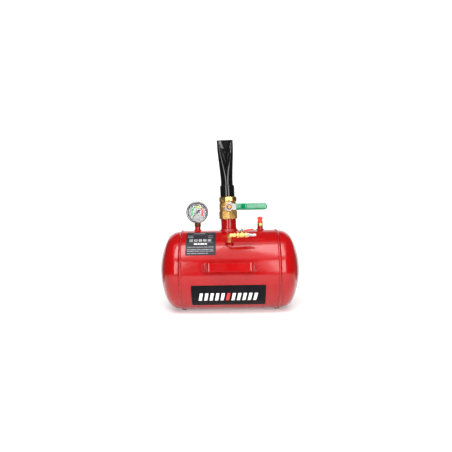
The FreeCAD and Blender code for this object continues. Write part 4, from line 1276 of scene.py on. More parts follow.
@dataclass
class Barrel:
    """The black socket and the tube that is pressed flat at its mouth."""

    socket_r: float = 23.0
    socket_low: float = 232.0
    socket_high: float = 268.6
    tube_r: float = 19.05
    wall: float = 2.0
    low: float = 244.0
    mouth: float = 411.9
    flare: tuple[Point2, ...] = (
        (283.0, 38.1), (298.0, 39.2), (312.0, 40.9), (330.0, 43.4), (350.0, 46.4), (370.0, 49.2),
        (386.0, 50.7),
        (398.0, 51.1), (411.9, 51.0))
    press_low: float = 332.0
    press_depth: float = 1.2
    fold_slope: float = 0.42

    def build(self) -> None:
        """Builds the socket, the weld and the barrel."""
        self.socket()
        self.weld()
        self.fishtail()

    def socket(self) -> None:
        """Builds the threaded socket with its chamfered rims."""
        outline = rounded([
            (16.5, self.socket_low - 6.3, 0.2), (20.9, self.socket_low - 6.3, 0.4),
            (20.9, self.socket_low, 0),
            (self.socket_r - 0.6, self.socket_low, 0.5), (self.socket_r, self.socket_low + 1.2, 0.6),
            (self.socket_r, self.socket_high - 2.4, 1.2), (self.socket_r - 2.0, self.socket_high, 1.0),
            (19.2, self.socket_high, 0.3), (19.2, self.low + 0.5, 0.0), (16.5, self.low, 0.3)], 5)
        form = Form().lathe(outline, PLACES.stack(), 144)
        form.piece("barrel_collar", Finishes.BLACK, "tank", ["barrel_socket"], 30.0)

    def weld(self) -> None:
        """Lays the bead between socket and barrel."""
        route, seam_r, steps = [], 19.6, 160
        for step in range(steps):
            angle = 2 * math.pi * step / steps
            route.append(Vector((seam_r * math.cos(angle), seam_r * math.sin(angle), self.socket_high + 0.1)))
        form = Form().bead(route, 1.0, lambda spot: Vector((0, 0, 1)), PLACES.stack(), closed=True, rise=0.25)
        form.piece("barrel_weld_bead", Finishes.BLACK, "tank", crease=60.0)

    def width_at(self, height: float) -> float:
        """Width of the tube at a height.

        Args:
            height: Height along the barrel.

        Returns:
            The tube's full width there.
        """
        if height <= self.flare[0][0]:
            return self.flare[0][1]
        for (low, narrow), (high, wide) in zip(self.flare, self.flare[1:]):
            if height <= high:
                share = (height - low) / (high - low)
                return narrow + (wide - narrow) * share
        return self.flare[-1][1]

    def section(self, height: float, inset: float) -> list[Vector]:
        """The closed outline at a height.

        Args:
            height: Height along the barrel.
            inset: Distance inside the outer skin.

        Returns:
            The outline's points, with the pressed flats dished inside two folds.
        """
        girth = 2 * math.pi * self.tube_r
        width = self.width_at(height)
        depth = min((girth - 2 * width) / (math.pi - 2), 2 * self.tube_r)
        half, radius = max((width - depth) / 2, 0.0), depth / 2 - inset
        press = max(0.0, (height - self.press_low) / (self.mouth - self.press_low))
        fold = press ** 0.8 * (half + 0.25 * depth)
        depth_here = self.press_depth * min(1.0, 2.2 * press)
        points = []
        round_steps, flat_steps = 22, 30
        for side in (1, -1):
            for step in range(round_steps + 1):
                angle = math.radians(-90 + 180 * step / round_steps)
                across = side * (half + radius * math.cos(angle))
                points.append(Vector((across, side * radius * math.sin(angle), height)))
            for step in range(1, flat_steps):
                points.append(Vector((side * half * (1 - 2 * step / flat_steps), side * radius, height)))
        for point in points:
            reach = fold - abs(point.x)
            if reach > 0 and fold > 0:
                dip = depth_here * (1 - math.exp(-self.fold_slope * reach / max(depth_here, 0.01)))
                point.y -= math.copysign(min(dip, 0.35 * depth), point.y)
        return points

    def fishtail(self) -> None:
        """Builds the barrel's outer and inner skins and its rounded lip."""
        heights = [self.low + (self.mouth - 1.2 - self.low) * step / 120 for step in range(121)]
        outside = [self.section(height, 0.0) for height in heights]
        lip = [self.section(self.mouth - 0.35, 0.25), self.section(self.mouth, 0.8),
               self.section(self.mouth, self.wall - 0.7), self.section(self.mouth - 0.5, self.wall)]
        inside = [self.section(height, self.wall) for height in reversed(heights[:-1])]
        form = Form().rings(outside + lip + inside, PLACES.barrel(), closed=True)
        form.piece("fishtail_barrel", Finishes.BLACK, "tank", ["barrel_tube"], 28.0)


# ---------------------------------------------------------------- gauge


@dataclass
class Gauge:
    """The bottom-connected pressure gauge; depths are from the stem's axis towards the front."""

    radius: float = 33.0
    bezel_r: float = 34.6
    window_r: float = 29.0
    front: float = 16.0
    back: float = -13.0
    dial_depth: float = 8.0
    needle_depth: float = 9.6
    needle_length: float = 21.0
    needle_tail: float = 9.0
    needle_rest: float = 225.0
    stem_af: float = 14.4
    numbers: tuple[str, ...] = ("0", "2", "4", "6", "8", "10", "12")

    def place(self) -> Matrix:
        """Frame at the dial's centre whose Z faces the front."""
        centre = Vector(PLACES.joint("needle_sweep")["pos_m"]) / MM
        return Matrix.Translation(centre) @ Matrix.Rotation(math.radians(90), 4, "X")

    def build(self) -> None:
        """Builds and dresses the gauge."""
        self.case()
        self.window()
        self.face()
        self.scale()
        self.figures()
        self.pointer()
        self.connection()
        for node, finish in (("bourdon_tube", Finishes.BRASS_TURNED),
                             ("gauge_movement", Finishes.BRASS_TURNED),
                             ("gauge_dial_ring", Finishes.DIAL)):
            dress(node, finish)

    def case(self) -> None:
        """Builds the drawn case, the rolled bezel and the fill plug."""
        place = self.place()
        r, f, b = self.radius, self.front, self.back
        Form().lathe(rounded([
            (0, b, 0), (r - 7, b, 0), (r - 6.2, b + 0.8, 0.5), (r - 4.6, b + 0.8, 0.5), (r - 3.8, b, 0.5),
            (r, b, 3.2), (r, f - 3.0, 0), (r - 1.2, f - 3.0, 0), (r - 1.2, b + 1.2, 2.2),
            (0, b + 1.2, 0)], 6),
            place, 160).piece("gauge_shell", Finishes.CASE, "tank", ["gauge_case"], 30.0)
        Form().lathe(rounded([
            (r, f - 8.4, 0.2), (self.bezel_r - 0.4, f - 8.4, 0.5), (self.bezel_r, f - 7.4, 0.5),
            (self.bezel_r, f - 2.2, 1.8), (self.bezel_r - 2.4, f, 1.6), (self.window_r + 1.2, f - 0.5, 1.0),
            (self.window_r, f - 2.2, 0.6), (self.window_r, f - 3.0, 0), (r, f - 3.0, 0)], 7),
            place, 192).piece("gauge_rim", Finishes.CHROME, "tank", ["gauge_bezel"], 30.0)
        top = self.place() @ Matrix.Rotation(math.radians(-90), 4, "X")
        Form().lathe(rounded([
            (0, r - 1.6, 0), (3.9, r - 1.6, 0), (3.9, r + 0.5, 0), (5.2, r + 0.5, 0.3), (4.8, r + 1.5, 0.5),
            (2.2, r + 1.6, 0.3), (1.6, r + 1.1, 0.2), (0, r + 1.1, 0)], 4),
            top, 48).piece("gauge_plug", Finishes.RUBBER, "tank", ["gauge_fill_plug"], 35.0)

    def window(self) -> None:
        """Builds the slightly domed window."""
        r, low, high = self.radius - 1.3, self.front - 5.4, self.front - 3.0
        outline = [(0.0, low), (r, low), (r, high - 0.6)]
        outline += [(r * (1 - step / 10), high - 0.6 + 0.55 * (1 - (1 - step / 10) ** 2))
                    for step in range(1, 10)]
        outline.append((0.0, high - 0.05))
        Form().lathe(outline, self.place(), 128).piece(
            "gauge_glass", Finishes.WINDOW, "tank", ["gauge_lens"], 40.0)

    def face(self) -> None:
        """Builds the dial plate with its turned-up edge and two small screws."""
        r, z = 30.4, self.dial_depth
        Form().lathe(rounded([
            (2.0, z - 0.6, 0), (r, z - 0.6, 0), (r, z + 0.5, 0.2), (r - 0.5, z + 0.5, 0.2), (r - 0.9, z, 0.4),
            (2.0, z, 0.1)], 4), self.place(), 128).piece(
                "dial_plate", Finishes.DIAL, "tank", ["gauge_dial"], 30.0)
        screws = Form()
        for side in (-1, 1):
            spot = self.place() @ Matrix.Translation((side * 8.0, -4.0, z))
            screws.lathe([(0, -0.1), (1.2, -0.1), (1.2, 0.25), (0.8, 0.45), (0.25, 0.48), (0.2, 0.3),
                          (0, 0.3)], spot, 32)
        screws.piece("dial_screws", Finishes.ZINC, "tank", crease=30.0)

    def arc(self, form: Form, start: float, end: float, inner: float, outer: float, lift: float) -> None:
        """Adds a printed arc.

        Args:
            form: The form to add to.
            start: First angle in degrees, anticlockwise from the right.
            end: Last angle in degrees.
            inner: Inner radius.
            outer: Outer radius.
            lift: Thickness of the print.
        """
        steps = max(2, int(abs(start - end) / 3))
        z = self.dial_depth
        rings = []
        for step in range(steps + 1):
            angle = math.radians(start + (end - start) * step / steps)
            cos, sin = math.cos(angle), math.sin(angle)
            rings.append([Vector((radius * cos, radius * sin, height)) for radius, height in (
                (inner, z - 0.05), (outer, z - 0.05), (outer, z + lift), (inner, z + lift))])
        form.rings(rings, self.place(), capped=True)

    def scale(self) -> None:
        """Prints the coloured zones and the ticks."""
        for name, finish, start, end in (
                ("dial_zone_green", Finishes.INK_GREEN, 215.0, 92.0),
                ("dial_zone_yellow", Finishes.INK_YELLOW, 91.0, 52.0),
                ("dial_zone_red", Finishes.INK_RED, 50.0, -40.0)):
            form = Form()
            self.arc(form, start, end, 15.2, 19.0, 0.07)
            form.piece(name, finish, "tank")
        ticks = Form()
        count = (len(self.numbers) - 1) * 10
        for step in range(count + 1):
            middle = self.needle_rest - 270.0 * step / count
            long, wide = (5.0, 0.62) if step % 10 == 0 else (3.6, 0.46) if step % 5 == 0 else (2.3, 0.26)
            half = math.degrees(wide / 2 / 26)
            self.arc(ticks, middle + half, middle - half, 28.0 - long, 28.0, 0.08)
        ring = Form()
        self.arc(ring, self.needle_rest + 0.6, self.needle_rest - 270.6, 28.0, 28.35, 0.08)
        ticks.piece("dial_ticks", Finishes.INK, "tank")
        ring.piece("dial_ring_line", Finishes.INK, "tank")

    def figures(self) -> None:
        """Prints the scale's plain numbers."""
        form = Form()
        for index, text in enumerate(self.numbers):
            angle = math.radians(self.needle_rest - 270.0 * index / (len(self.numbers) - 1))
            curve = bpy.data.curves.new("figure", "FONT")
            curve.body, curve.size, curve.extrude = text, 4.6, 0.05
            curve.align_x, curve.align_y = "CENTER", "CENTER"
            holder = bpy.data.objects.new("figure", curve)
            bpy.context.scene.collection.objects.link(holder)
            bpy.context.view_layer.update()
            ready = holder.evaluated_get(bpy.context.evaluated_depsgraph_get())
            mesh = bpy.data.meshes.new_from_object(ready)
            figure_r = 21.6
            spot = Matrix.Translation(
                (figure_r * math.cos(angle), figure_r * math.sin(angle), self.dial_depth + 0.03))
            mesh.transform(self.place() @ spot)
            form.mesh.from_mesh(mesh)
            bpy.data.objects.remove(holder)
            bpy.data.curves.remove(curve)
            bpy.data.meshes.remove(mesh)
        form.piece("dial_figures", Finishes.INK, "tank", crease=20.0)

    def pointer(self) -> None:
        """Builds the tapered needle with its hub and staff."""
        z = self.needle_depth
        turn = self.place() @ Matrix.Rotation(math.radians(self.needle_rest), 4, "Z")
        flat = [(self.needle_length, -0.4), (self.needle_length, 0.4), (2.0, 1.3), (-3.0, 1.3),
                (-self.needle_tail + 1.8, 2.8), (-self.needle_tail, 2.0), (-self.needle_tail, -2.0),
                (-self.needle_tail + 1.8, -2.8), (-3.0, -1.3), (2.0, -1.3)]
        form = Form().rings([[Vector((x, y, height)) for x, y in flat] for height in (z - 0.45, z - 0.05)],
                            turn, capped=True)
        form.lathe(rounded([(0, z - 0.9, 0), (2.6, z - 0.9, 0.2), (2.6, z + 0.3, 0.4), (1.2, z + 0.6, 0.2),
                            (0, z + 0.6, 0)], 4), turn, 48)
        form.lathe([(0, 2.4), (0.9, 2.4), (0.9, z - 0.6), (0, z - 0.6)], turn, 24)
        form.piece("gauge_pointer", Finishes.INK, "needle", ["gauge_needle"], 30.0)

    def connection(self) -> None:
        """Builds the square brass stem; its inner block stays in the frame."""
        centre = self.place().translation
        stand = Matrix.Translation((centre.x, 0, 0))
        low, high = 136.6, 151.0
        form = Form().lathe(rounded([
            (0, low - 12, 0), (6.4, low - 12, 0.6), (6.4, low, 0), (0, low, 0)], 3), stand, 64)
        form.nut(4, self.stem_af, low, high, 1.6, stand, 1.4)
        form.lathe(rounded([
            (0, high - 0.5, 0), (5.8, high - 0.5, 0), (5.8, high + 4, 0.3), (0, high + 4, 0)], 3), stand, 64)
        block = [Vector((x, y, 0)) for x, y in ((-6, 2), (6, 2), (6, 9), (-6, 9))]
        form.rings([[spot + Vector((0, 0, z)) for spot in block] for z in (154.0, 166.0)], stand, capped=True)
        form.piece("gauge_stem", Finishes.BRASS_TURNED, "tank", ["gauge_socket"], 30.0)


# ---------------------------------------------------------------- safety valve


@dataclass
class SafetyValve:
    """The sprung safety valve with its red pull cap."""

    low: float = 136.6
    hex_high: float = 146.9
    across_flats: float = 14.6
    cap_low: float = 147.2
    cap_high: float = 166.2
    disc_top: float = 139.9
    roof: float = 158.7
    coil_r: float = 2.8
    wire_r: float = 0.45
    turns: int = 5
    lift: float = 3.0

    def build(self) -> None:
        """Builds and dresses the valve."""
        stand = Matrix.Translation((middle_x("safety_body"), 0, 0))
        self.body(stand)
        self.cap(stand)
        self.spring(stand)
        dress("safety_stem", Finishes.ZINC)

    def body(self, stand: Matrix) -> None:
        """Builds the brass body: screw, hexagon and spring tower.

        Args:
            stand: Frame of the valve.
        """
        top = self.cap_high - 6.0
        form = Form().nut(6, self.across_flats, self.low, self.hex_high, 4.0, stand, 1.2)
        form.lathe(rounded([(2.4, self.low - 12, 0.1), (6.5, self.low - 12, 0.6), (6.5, self.low + 0.1, 0),
                            (2.4, self.low + 0.1, 0)], 3), stand, 64)
        form.lathe(rounded([(4.0, self.low + 1, 0), (5.2, self.low + 1, 0), (5.2, top, 0.4), (1.56, top, 0.1),
                            (1.56, top - 1.5, 0), (4.0, top - 1.5, 0)], 3), stand, 64)
        form.piece("safety_body_turned", Finishes.BRASS_TURNED, "tank", ["safety_body"], 30.0)

    def cap(self, stand: Matrix) -> None:
        """Builds the red cap: two flanges with fine ribs and a waist.

        Args:
            stand: Frame of the valve.
        """
        low, high = self.cap_low, self.cap_high
        flange, waist = 8.5, 7.0
        outline = rounded([
            (5.5, low, 0.1), (8.1, low, 0.3), (flange, low + 0.6, 0.3), (flange, low + 5.2, 0.5),
            (waist, low + 6.6, 0.8), (waist, high - 7.8, 0.8), (flange, high - 6.4, 0.6),
            (flange, high - 1.0, 0.5), (7.2, high, 0.6),
            (1.5, high, 0.3), (1.5, high - 2.2, 0), (5.5, high - 2.2, 0.3)], 4)

        def ribbed(angle: float) -> float:
            """The flange's edge with its ribs."""
            return flange - 0.28 * (0.5 + 0.5 * math.cos(36 * angle)) ** 2
        form = Form().lathe(outline, stand, 288, ribbed)
        form.piece("safety_cap_moulded", Finishes.RED_CAP, "pull_cap", ["safety_cap"], 35.0)

    def spring(self, stand: Matrix) -> None:
        """Winds the spring over the stem's disc and hangs it on the pull cap.

        Args:
            stand: Frame of the valve.
        """
        end = self.wire_r + 0.1
        low, high, steps = self.disc_top + end, self.roof - end, 40 * self.turns
        rings = []
        for step in range(steps + 1):
            turn, height = 2 * math.pi * self.turns * step / steps, low + (high - low) * step / steps
            ring = []
            for corner in range(10):
                angle = 2 * math.pi * corner / 10
                radius = self.coil_r + self.wire_r * math.cos(angle)
                level = height + self.wire_r * math.sin(angle)
                ring.append(Vector((radius * math.cos(turn), radius * math.sin(turn), level)))
            rings.append(ring)
        coil = Form().rings(rings, stand, capped=True).piece(
            "safety_coil", Finishes.SPRING, "pull_cap", ["safety_spring"], 50.0)
        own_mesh(coil)


# ---------------------------------------------------------------- fill branch


@dataclass
class FillBranch:
    """The fill branch: elbow, small ball valve, lever and quick-coupler plug."""

    leg_r: float = 6.4
    reach: float = 163.3
    inlet_x: float = 21.4
    collar_x: float = 29.1
    outlet_x: float = 53.5
    plug_x: float = 78.6
    body_r: float = 7.2
    boss_r: float = 4.4
    boss_top: float = 9.6
    gland_top: float = 12.2
    lever_seat: float = 13.1
    thread_r: float = 1.7

    def build(self) -> None:
        """Builds and dresses the branch."""
        self.elbow()
        self.valve()
        self.top()
        self.lever()
        self.plug()
        for node, finish in (("fill_ball", Finishes.NICKEL), ("fill_seats", Finishes.PTFE),
                             ("fill_stem", Finishes.BRASS_TURNED)):
            dress(node, finish)

    def elbow(self) -> None:
        """Builds the cast elbow with its bead rims and hexagon."""
        out = PLACES.on_front(PLACES.fill_phi)
        corner = out @ Vector((0, 0, self.reach))
        up = (out.to_3x3() @ Vector((0, 0, 1))).normalized()
        along = Vector((1, 0, 0))
        side = up.cross(along)
        bend = 7.5
        centre = corner - up * bend + along * bend
        rings = []
        spine: list[tuple[Vector, Vector, float]] = []
        low = 143.2
        for share in (0.0, 0.04, 0.5, 0.94, 1.0):
            height = low + (self.reach - bend - low) * share
            spine.append((out @ Vector((0, 0, height)), up, self.leg_r + (0.5 if share < 0.03 else 0.0)))
        for step in range(1, 17):
            angle = math.radians(90 * step / 16)
            way = up * math.cos(angle) + along * math.sin(angle)
            spot = centre - along * (bend * math.cos(angle)) + up * (bend * math.sin(angle))
            spine.append((spot, way, self.leg_r + 0.25 * math.sin(2 * angle)))
        for x, radius in ((9.0, 6.4), (11.4, 6.4), (12.0, 7.1), (12.6, 7.3), (17.6, 7.3), (18.4, 6.9),
                          (18.4, 4.6), (26.5, 4.5)):
            spine.append((Vector((x, corner.y, corner.z)), along, radius))
        for spot, way, radius in spine:
            across = side.cross(way).normalized()
            ring = []
            for step in range(40):
                angle = 2 * math.pi * step / 40
                ring.append(spot + (across * math.cos(angle) + side * math.sin(angle)) * radius)
            rings.append(ring)
        form = Form().rings(rings, capped=True)
        form.nut(6, 13.6, 136.6, 143.6, 2.6, out, 1.0)
        form.lathe([(0, 125.6), (6.4, 125.6), (6.4, 136.6), (0, 136.6)], out, 48)
        form.piece("fill_elbow_cast", Finishes.BRASS_CAST, "tank", ["fill_elbow"], 40.0)

    def valve(self) -> None:
        """Builds the small valve's body, its stem boss and the screwed end."""
        flow, half = PLACES.fill_flow(), self.body_r
        mid = PLACES.fill_centre().x
        low, collar, high = self.inlet_x - mid, self.collar_x - mid, self.outlet_x - mid
        form = Form().nut(6, 13.4, low, collar, 4.6, flow, 1.0)
        form.lathe(rounded([(5.9, collar - 0.5, 0), (half - 0.9, collar - 0.5, 0), (half, collar + 1.2, 0.6),
                            (half + 0.1, 0, 1.0), (half, 5.4, 0.6), (half - 0.5, 6.0, 0.2),
                            (5.9, 6.0, 0)], 4), flow, 72)
        up = flow @ Matrix.Rotation(math.radians(90), 4, "X")
        form.lathe(rounded([(2.25, 5.0, 0), (5.2, 5.4, 0), (self.boss_r, 7.4, 0.8),
                            (self.boss_r, self.boss_top, 0.3), (2.25, self.boss_top, 0.1)], 4), up, 48)
        form.piece("fill_valve_casting", Finishes.BRASS_CAST, "tank", ["fill_valve_body"], 30.0)
        end = Form().nut(6, 13.4, 8.0, high, 4.4, flow, 1.0)
        end.lathe(rounded([(3.0, 4.9, 0), (6.4, 4.9, 0), (6.4, 6.05, 0), (5.7, 6.05, 0.1), (5.7, 8.3, 0),
                           (3.0, 8.3, 0)], 3), flow, 64)
        end.piece("fill_end_turned", Finishes.BRASS_TURNED, "tank", ["fill_valve_end"], 30.0)

    def top(self) -> None:
        """Builds the gland nut, the lock nut and the stem's thread."""
        up = PLACES.fill_flow() @ Matrix.Rotation(math.radians(90), 4, "X")
        Form().nut(6, 7.6, self.boss_top, self.gland_top, 2.25, up, 0.5).piece(
            "fill_gland_turned", Finishes.BRASS_TURNED, "tank", ["fill_gland_nut"], 30.0)
        side = Matrix.Translation(PLACES.fill_centre())
        face = self.lever_seat + 1.4
        Form().nut(6, 6.4, face, face + 3.0, self.thread_r, side, 0.5).piece(
            "fill_lock_nut", Finishes.ZINC, "fill_handle", ["fill_lever_nut"], 30.0)
        Form().thread(self.thread_r, 0.25, 0.7, face + 1.0, 20.0, side).piece(
            "fill_stem_thread", Finishes.BRASS_TURNED, "fill_handle", crease=50.0)

    def lever(self) -> None:
        """Builds the small lever and its red sleeve."""
        side = Matrix.Translation(PLACES.fill_centre())
        foot = self.lever_seat
        line = BentLine([(-5.0, foot), (6.0, foot), (30.0, foot + 2.6), (34.0, foot + 2.6)], 5.0)
        start = 5.0
        outline: list[Point2] = []
        for step in range(21):
            angle = math.radians(40 + 280 * step / 20)
            outline.append((start + 4.0 * math.cos(angle), 4.0 * math.sin(angle)))
        outline += [(start + 9.0, -2.6), (line.length - 2.6, -2.6)]
        for step in range(1, 12):
            angle = math.radians(-90 + 180 * step / 12)
            outline.append((line.length - 2.6 + 2.6 * math.cos(angle), 2.6 * math.sin(angle)))
        outline += [(line.length - 2.6, 2.6), (start + 9.0, 2.6)]
        Form().strip(outline, 1.4, line, side, 0.2, 1.5).piece(
            "fill_lever_plate", Finishes.ZINC, "fill_handle", ["fill_lever"], 14.0)
        Form().sleeve(line, start + 5.6, line.length + 1.3, 3.9, 2.3, 0.7, side, 2.8).piece(
            "fill_lever_dip", Finishes.RED_VINYL, "fill_handle", ["fill_lever_sleeve"], 50.0)

    def plug(self) -> None:
        """Builds the hardened coupler plug with its groove and nose."""
        low = self.outlet_x - PLACES.fill_centre().x
        end = self.plug_x - PLACES.fill_centre().x
        outline = rounded([
            (2.5, low - 6.0, 0), (4.35, low - 6.0, 0.2), (4.35, low, 0), (6.4, low, 0.3),
            (6.6, low + 0.6, 0.3), (6.6, low + 3.2, 0.4), (5.0, low + 4.8, 0.4),
            (5.0, low + 8.8, 0.4), (3.9, low + 9.8, 0.5),
            (3.9, low + 13.8, 0.8), (4.7, low + 15.6, 0.6), (4.7, end - 4.2, 0.6), (3.9, end - 3.2, 0.3),
            (3.9, end - 0.1, 0.5), (3.4, end, 0.2), (2.5, end, 0.3)], 5)
        Form().lathe(outline, PLACES.fill_flow(), 96).piece(
            "coupler_plug_turned", Finishes.NICKEL, "tank", ["coupler_plug"], 30.0)


# ---------------------------------------------------------------- labels


@dataclass
class Label:
    """A film wrapped on the shell, with generic printed marks."""

    node: str
    name: str
    finish: Finishes
    left: float
    right: float
    low: float
    high: float
    shell_r: float = 125.0

    def spot(self, x: float, arc: float, lift: float) -> Vector:
        """A point on the film.

        Args:
            x: Distance from the label's left edge.
            arc: Distance down from the label's upper edge.
            lift: Height above the shell.

        Returns:
            The point in the tank's frame.
        """
        angle = math.radians(self.high) - arc / self.shell_r
        radius = self.shell_r + lift
        return Vector((self.left + x, -radius * math.cos(angle), radius * math.sin(angle)))

    @property
    def height(self) -> float:
        """Length of the label round the shell."""
        return math.radians(self.high - self.low) * self.shell_r

    @property
    def width(self) -> float:
        """Width of the label along the tank."""
        return self.right - self.left

    def patch(self, form: Form, left: float, top: float, right: float, bottom: float, lift: float,
              under: float = 0.0, slant: float = 0.0) -> None:
        """Adds a thin printed patch.

        Args:
            form: The form to add to.
            left: Left edge on the label.
            top: Upper edge on the label.
            right: Right edge on the label.
            bottom: Lower edge on the label.
            lift: Height of its face above the shell.
            under: Height of its back above the shell.
            slant: How far the lower edge is shifted left.
        """
        steps = max(2, int((bottom - top) / 3.0))
        rings = []
        for step in range(steps + 1):
            share = step / steps
            arc = top + (bottom - top) * share
            shift = -slant * share
            rings.append([self.spot(left + shift, arc, under), self.spot(right + shift, arc, under),
                          self.spot(right + shift, arc, lift), self.spot(left + shift, arc, lift)])
        form.rings(rings, capped=True)

    def film(self) -> None:
        """Builds the film with its rounded corners."""
        form = Form()
        radius, rows = 2.5, 60
        rings = []
        for row in range(rows + 1):
            share = row / rows
            arc = self.height * share
            near = min(arc, self.height - arc)
            tuck = radius - math.sqrt(max(radius ** 2 - (radius - near) ** 2, 0.0)) if near < radius else 0.0
            left, right = tuck, self.width - tuck
            spots = [self.spot(left + (right - left) * step / 12, arc, 0.30) for step in range(13)]
            backs = [self.spot(left + (right - left) * (12 - step) / 12, arc, 0.02) for step in range(13)]
            rings.append(spots + backs)
        form.rings(rings, capped=True)
        form.piece(self.name, self.finish, "tank", [self.node], 40.0)

    def marks(self) -> None:
        """Prints the marks; each label has its own."""

    def build(self) -> None:
        """Builds the film and its marks."""
        self.film()
        self.marks()


@dataclass
class InfoLabel(Label):
    """The charcoal rating label, with bars and symbols in place of words."""

    def marks(self) -> None:
        """Prints a heading bar, symbols and rows of plain bars."""
        light, pale = Form(), Form()
        lift, w = 0.36, self.width
        self.patch(pale, 23, 8, 57, 13.5, lift, 0.25)
        for top in (24.5, 33.5):
            self.patch(pale, 5, top, 22, top + 3, lift, 0.25)
            self.patch(pale, w - 24, top, w - 9, top + 3, lift, 0.25)
        for index in range(5):
            self.symbol(light, 11.5 + index * 13.8, 44.5, index)
        self.patch(pale, 9, 58.5, w - 9, 59.4, lift, 0.25)
        for left, right in ((25, 34), (36, 42), (44, 55), (57, 64)):
            self.patch(light, left, 62.3, right, 66.2, lift, 0.25)
        for row, (top, lengths) in enumerate((
                (75, (14, 9, 21, 12, 16)), (83.5, (7, 19, 11, 24, 10)),
                (89, (22, 12, 16, 9, 13)), (96.5, (10, 17, 23, 8)))):
            left = 5.0
            for length in lengths:
                self.patch(pale, left, top, left + length, top + 2.2, lift, 0.25)
                left += length + 1.8
        light.piece("info_marks_light", Finishes.INK_WHITE, "tank", crease=40.0)
        pale.piece("info_marks_pale", Finishes.INK_GREY, "tank", crease=40.0)

    def symbol(self, form: Form, left: float, top: float, kind: int) -> None:
        """Adds one plain square symbol.

        Args:
            form: The form to add to.
            left: Left edge.
            top: Upper edge.
            kind: Which of the plain patterns it gets.
        """
        size, edge, lift = 9.0, 0.7, 0.36
        bars = [(0, 0, size, edge), (0, size - edge, size, size), (0, edge, edge, size - edge),
                (size - edge, edge, size, size - edge)]
        bars += [[(2, 4, 7, 5)], [(4, 2, 5, 7)], [(2, 2.6, 7, 3.6), (2, 5.4, 7, 6.4)],
                 [(2.6, 2, 3.6, 7), (5.4, 2, 6.4, 7)], [(3.2, 3.2, 5.8, 5.8)]][kind]
        for x0, y0, x1, y1 in bars:
            self.patch(form, left + x0, top + y0, left + x1, top + y1, lift, 0.25)


@dataclass
class FrontLabel(Label):
    """The black front label, with a plain striped band in place of a name."""

    def marks(self) -> None:
        """Prints a row of slanted white stripes with one red stripe."""
        white, red = Form(), Form()
        count, first, pitch = 11, 26.0, 16.4
        top, bottom = 27.0, self.height - 25.0
        for index in range(count):
            left = first + index * pitch
            form = red if index == count // 2 else white
            self.patch(form, left, top, left + 9.2, bottom, 0.36, 0.25, slant=5.0)
        white.piece("front_stripes", Finishes.INK_WHITE, "tank", crease=40.0)
        red.piece("front_stripe_red", Finishes.INK_RED, "tank", crease=40.0)


# ---------------------------------------------------------------- studio


@dataclass(frozen=True)
class SoftBox:
    """A soft box round the tank; the azimuth is from the front towards +X."""

    name: str
    azimuth: float
    elevation: float
    distance: float
    width: float
    height: float
    radiance: float

    def hang(self) -> None:
        """Hangs the box facing the tank."""
        data = bpy.data.lights.new(self.name, "AREA")
        data.shape, data.size, data.size_y = "RECTANGLE", self.width, self.height
        data.energy = self.radiance * math.pi * self.width * self.height
        obj = bpy.data.objects.new(self.name, data)
        bpy.context.scene.collection.objects.link(obj)
        around, up = math.radians(self.azimuth), math.radians(self.elevation)
        way = Vector((math.sin(around) * math.cos(up), -math.cos(around) * math.cos(up), math.sin(up)))
        aim = (-way).to_track_quat("-Z", "Y").to_matrix().to_4x4()
        obj.matrix_world = Matrix.Translation(way * self.distance) @ aim


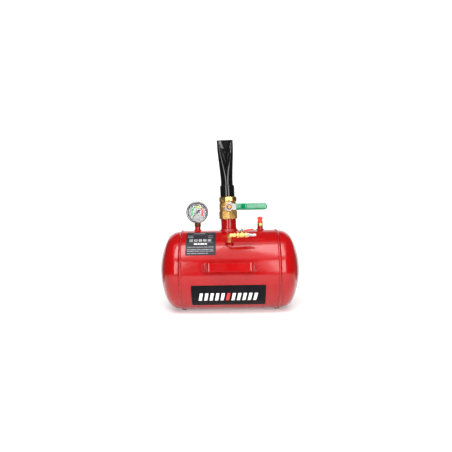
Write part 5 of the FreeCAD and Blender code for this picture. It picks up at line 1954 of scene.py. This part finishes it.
@dataclass
class Studio:
    """The floor, the lights and the camera."""

    eye: Corner = (0.5, -1392.0, 200.0)
    target: Corner = (-10.3, 0.0, 138.7)
    roll: float = -0.93
    lens: float = 34.56
    room: float = 0.12
    boxes: tuple[SoftBox, ...] = (
        SoftBox("left_window", -19.3, 13.0, 1.62, 0.40, 0.95, 9.2),
        SoftBox("left_skylight", -25.0, 58.0, 1.6, 0.42, 1.0, 9.2),
        SoftBox("right_window", 19.7, 13.0, 1.62, 0.55, 0.95, 8.2),
        SoftBox("right_skylight", 27.0, 58.0, 1.6, 0.5, 1.0, 7.2),
        SoftBox("ceiling", 0.0, 62.0, 1.95, 2.6, 2.0, 1.5))
    floor_z: float = field(default_factory=lambda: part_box("shoe_left")[0].z)

    def build(self) -> None:
        """Sets up the whole studio."""
        self.camera()
        self.floor()
        self.world()
        self.lights()

    def camera(self) -> None:
        """Places the camera."""
        data = bpy.data.cameras.new("studio_camera")
        data.lens, data.sensor_width = self.lens, 36.0
        data.clip_start, data.clip_end = 0.05, 50.0
        obj = bpy.data.objects.new("studio_camera", data)
        bpy.context.scene.collection.objects.link(obj)
        eye, target = Vector(self.eye) * MM, Vector(self.target) * MM
        aim = (target - eye).to_track_quat("-Z", "Y").to_matrix().to_4x4()
        obj.matrix_world = Matrix.Translation(eye) @ aim @ Matrix.Rotation(math.radians(self.roll), 4, "Z")
        bpy.context.scene.camera = obj
        bpy.context.scene.view_settings.view_transform = "Standard"

    def sheet(self, name: str, half: float, profile: Sequence[Point2], glow: float) -> None:
        """Lays one plain pale sheet.

        Args:
            name: Name of the sheet.
            half: Half its width in metres.
            profile: Its line from front to back as (y, height over the floor), in metres.
            glow: Light that the sheet gives off.
        """
        bm = bmesh.new()
        rows = [[bm.verts.new((x, y, self.floor_z + z)) for x in (-half, half)] for y, z in profile]
        for low, high in zip(rows, rows[1:]):
            bm.faces.new((low[0], low[1], high[1], high[0]))
        data = bpy.data.meshes.new(name)
        bm.to_mesh(data)
        bm.free()
        data.polygons.foreach_set("use_smooth", [True] * len(data.polygons))
        obj = bpy.data.objects.new(name, data)
        bpy.context.scene.collection.objects.link(obj)
        bench = Bench(name + "_paper")
        bench.join(bench.tint(bench.grain(4.0, 2.0), (0.86, 0.86, 0.86), (0.89, 0.89, 0.89)), "Base Color")
        bench.set("Roughness", 0.9)
        bench.set("Specular IOR Level", 0.1)
        bench.set("Emission Color", (1.0, 1.0, 1.0, 1.0))
        bench.set("Emission Strength", glow)
        data.materials.append(bench.material)

    def floor(self) -> None:
        """Lays the pale floor and hangs the lit backdrop behind it."""
        self.sheet("studio_floor", 0.95, [(-1.0, -0.5), (-0.97, -0.12), (-0.85, 0.0), (0.3, 0.0)], 0.2)
        self.sheet("studio_backdrop", 4.1, [(5.2, -3.4), (5.8, -2.4), (6.0, -1.0), (6.0, 4.4)], 1.0)

    def world(self) -> None:
        """Sets the dim surroundings."""
        world = bpy.data.worlds.new("studio_world")
        world.use_nodes = True
        world.node_tree.nodes["Background"].inputs["Color"].default_value = (1.0, 1.0, 1.0, 1.0)
        world.node_tree.nodes["Background"].inputs["Strength"].default_value = self.room
        bpy.context.scene.world = world

    def lights(self) -> None:
        """Hangs the soft boxes: two lower and two upper windows."""
        for box in self.boxes:
            box.hang()


def main() -> None:
    """Builds every sub-assembly in order."""
    logging.basicConfig(level=logging.INFO, format="%(name)s: %(message)s")
    Studio().build()
    for part in (
            Tank(), MainValve(), Barrel(), Gauge(), SafetyValve(), FillBranch(),
            InfoLabel("info_label", "info_film", Finishes.FILM_GREY, -132.0, -41.0, 27.5, 75.0),
            FrontLabel("front_label", "front_film", Finishes.FILM, -116.5, 106.0, -51.8, -14.3)):
        log.info("building %s", type(part).__name__)
        part.build()


if __name__ == "__main__":
    main()
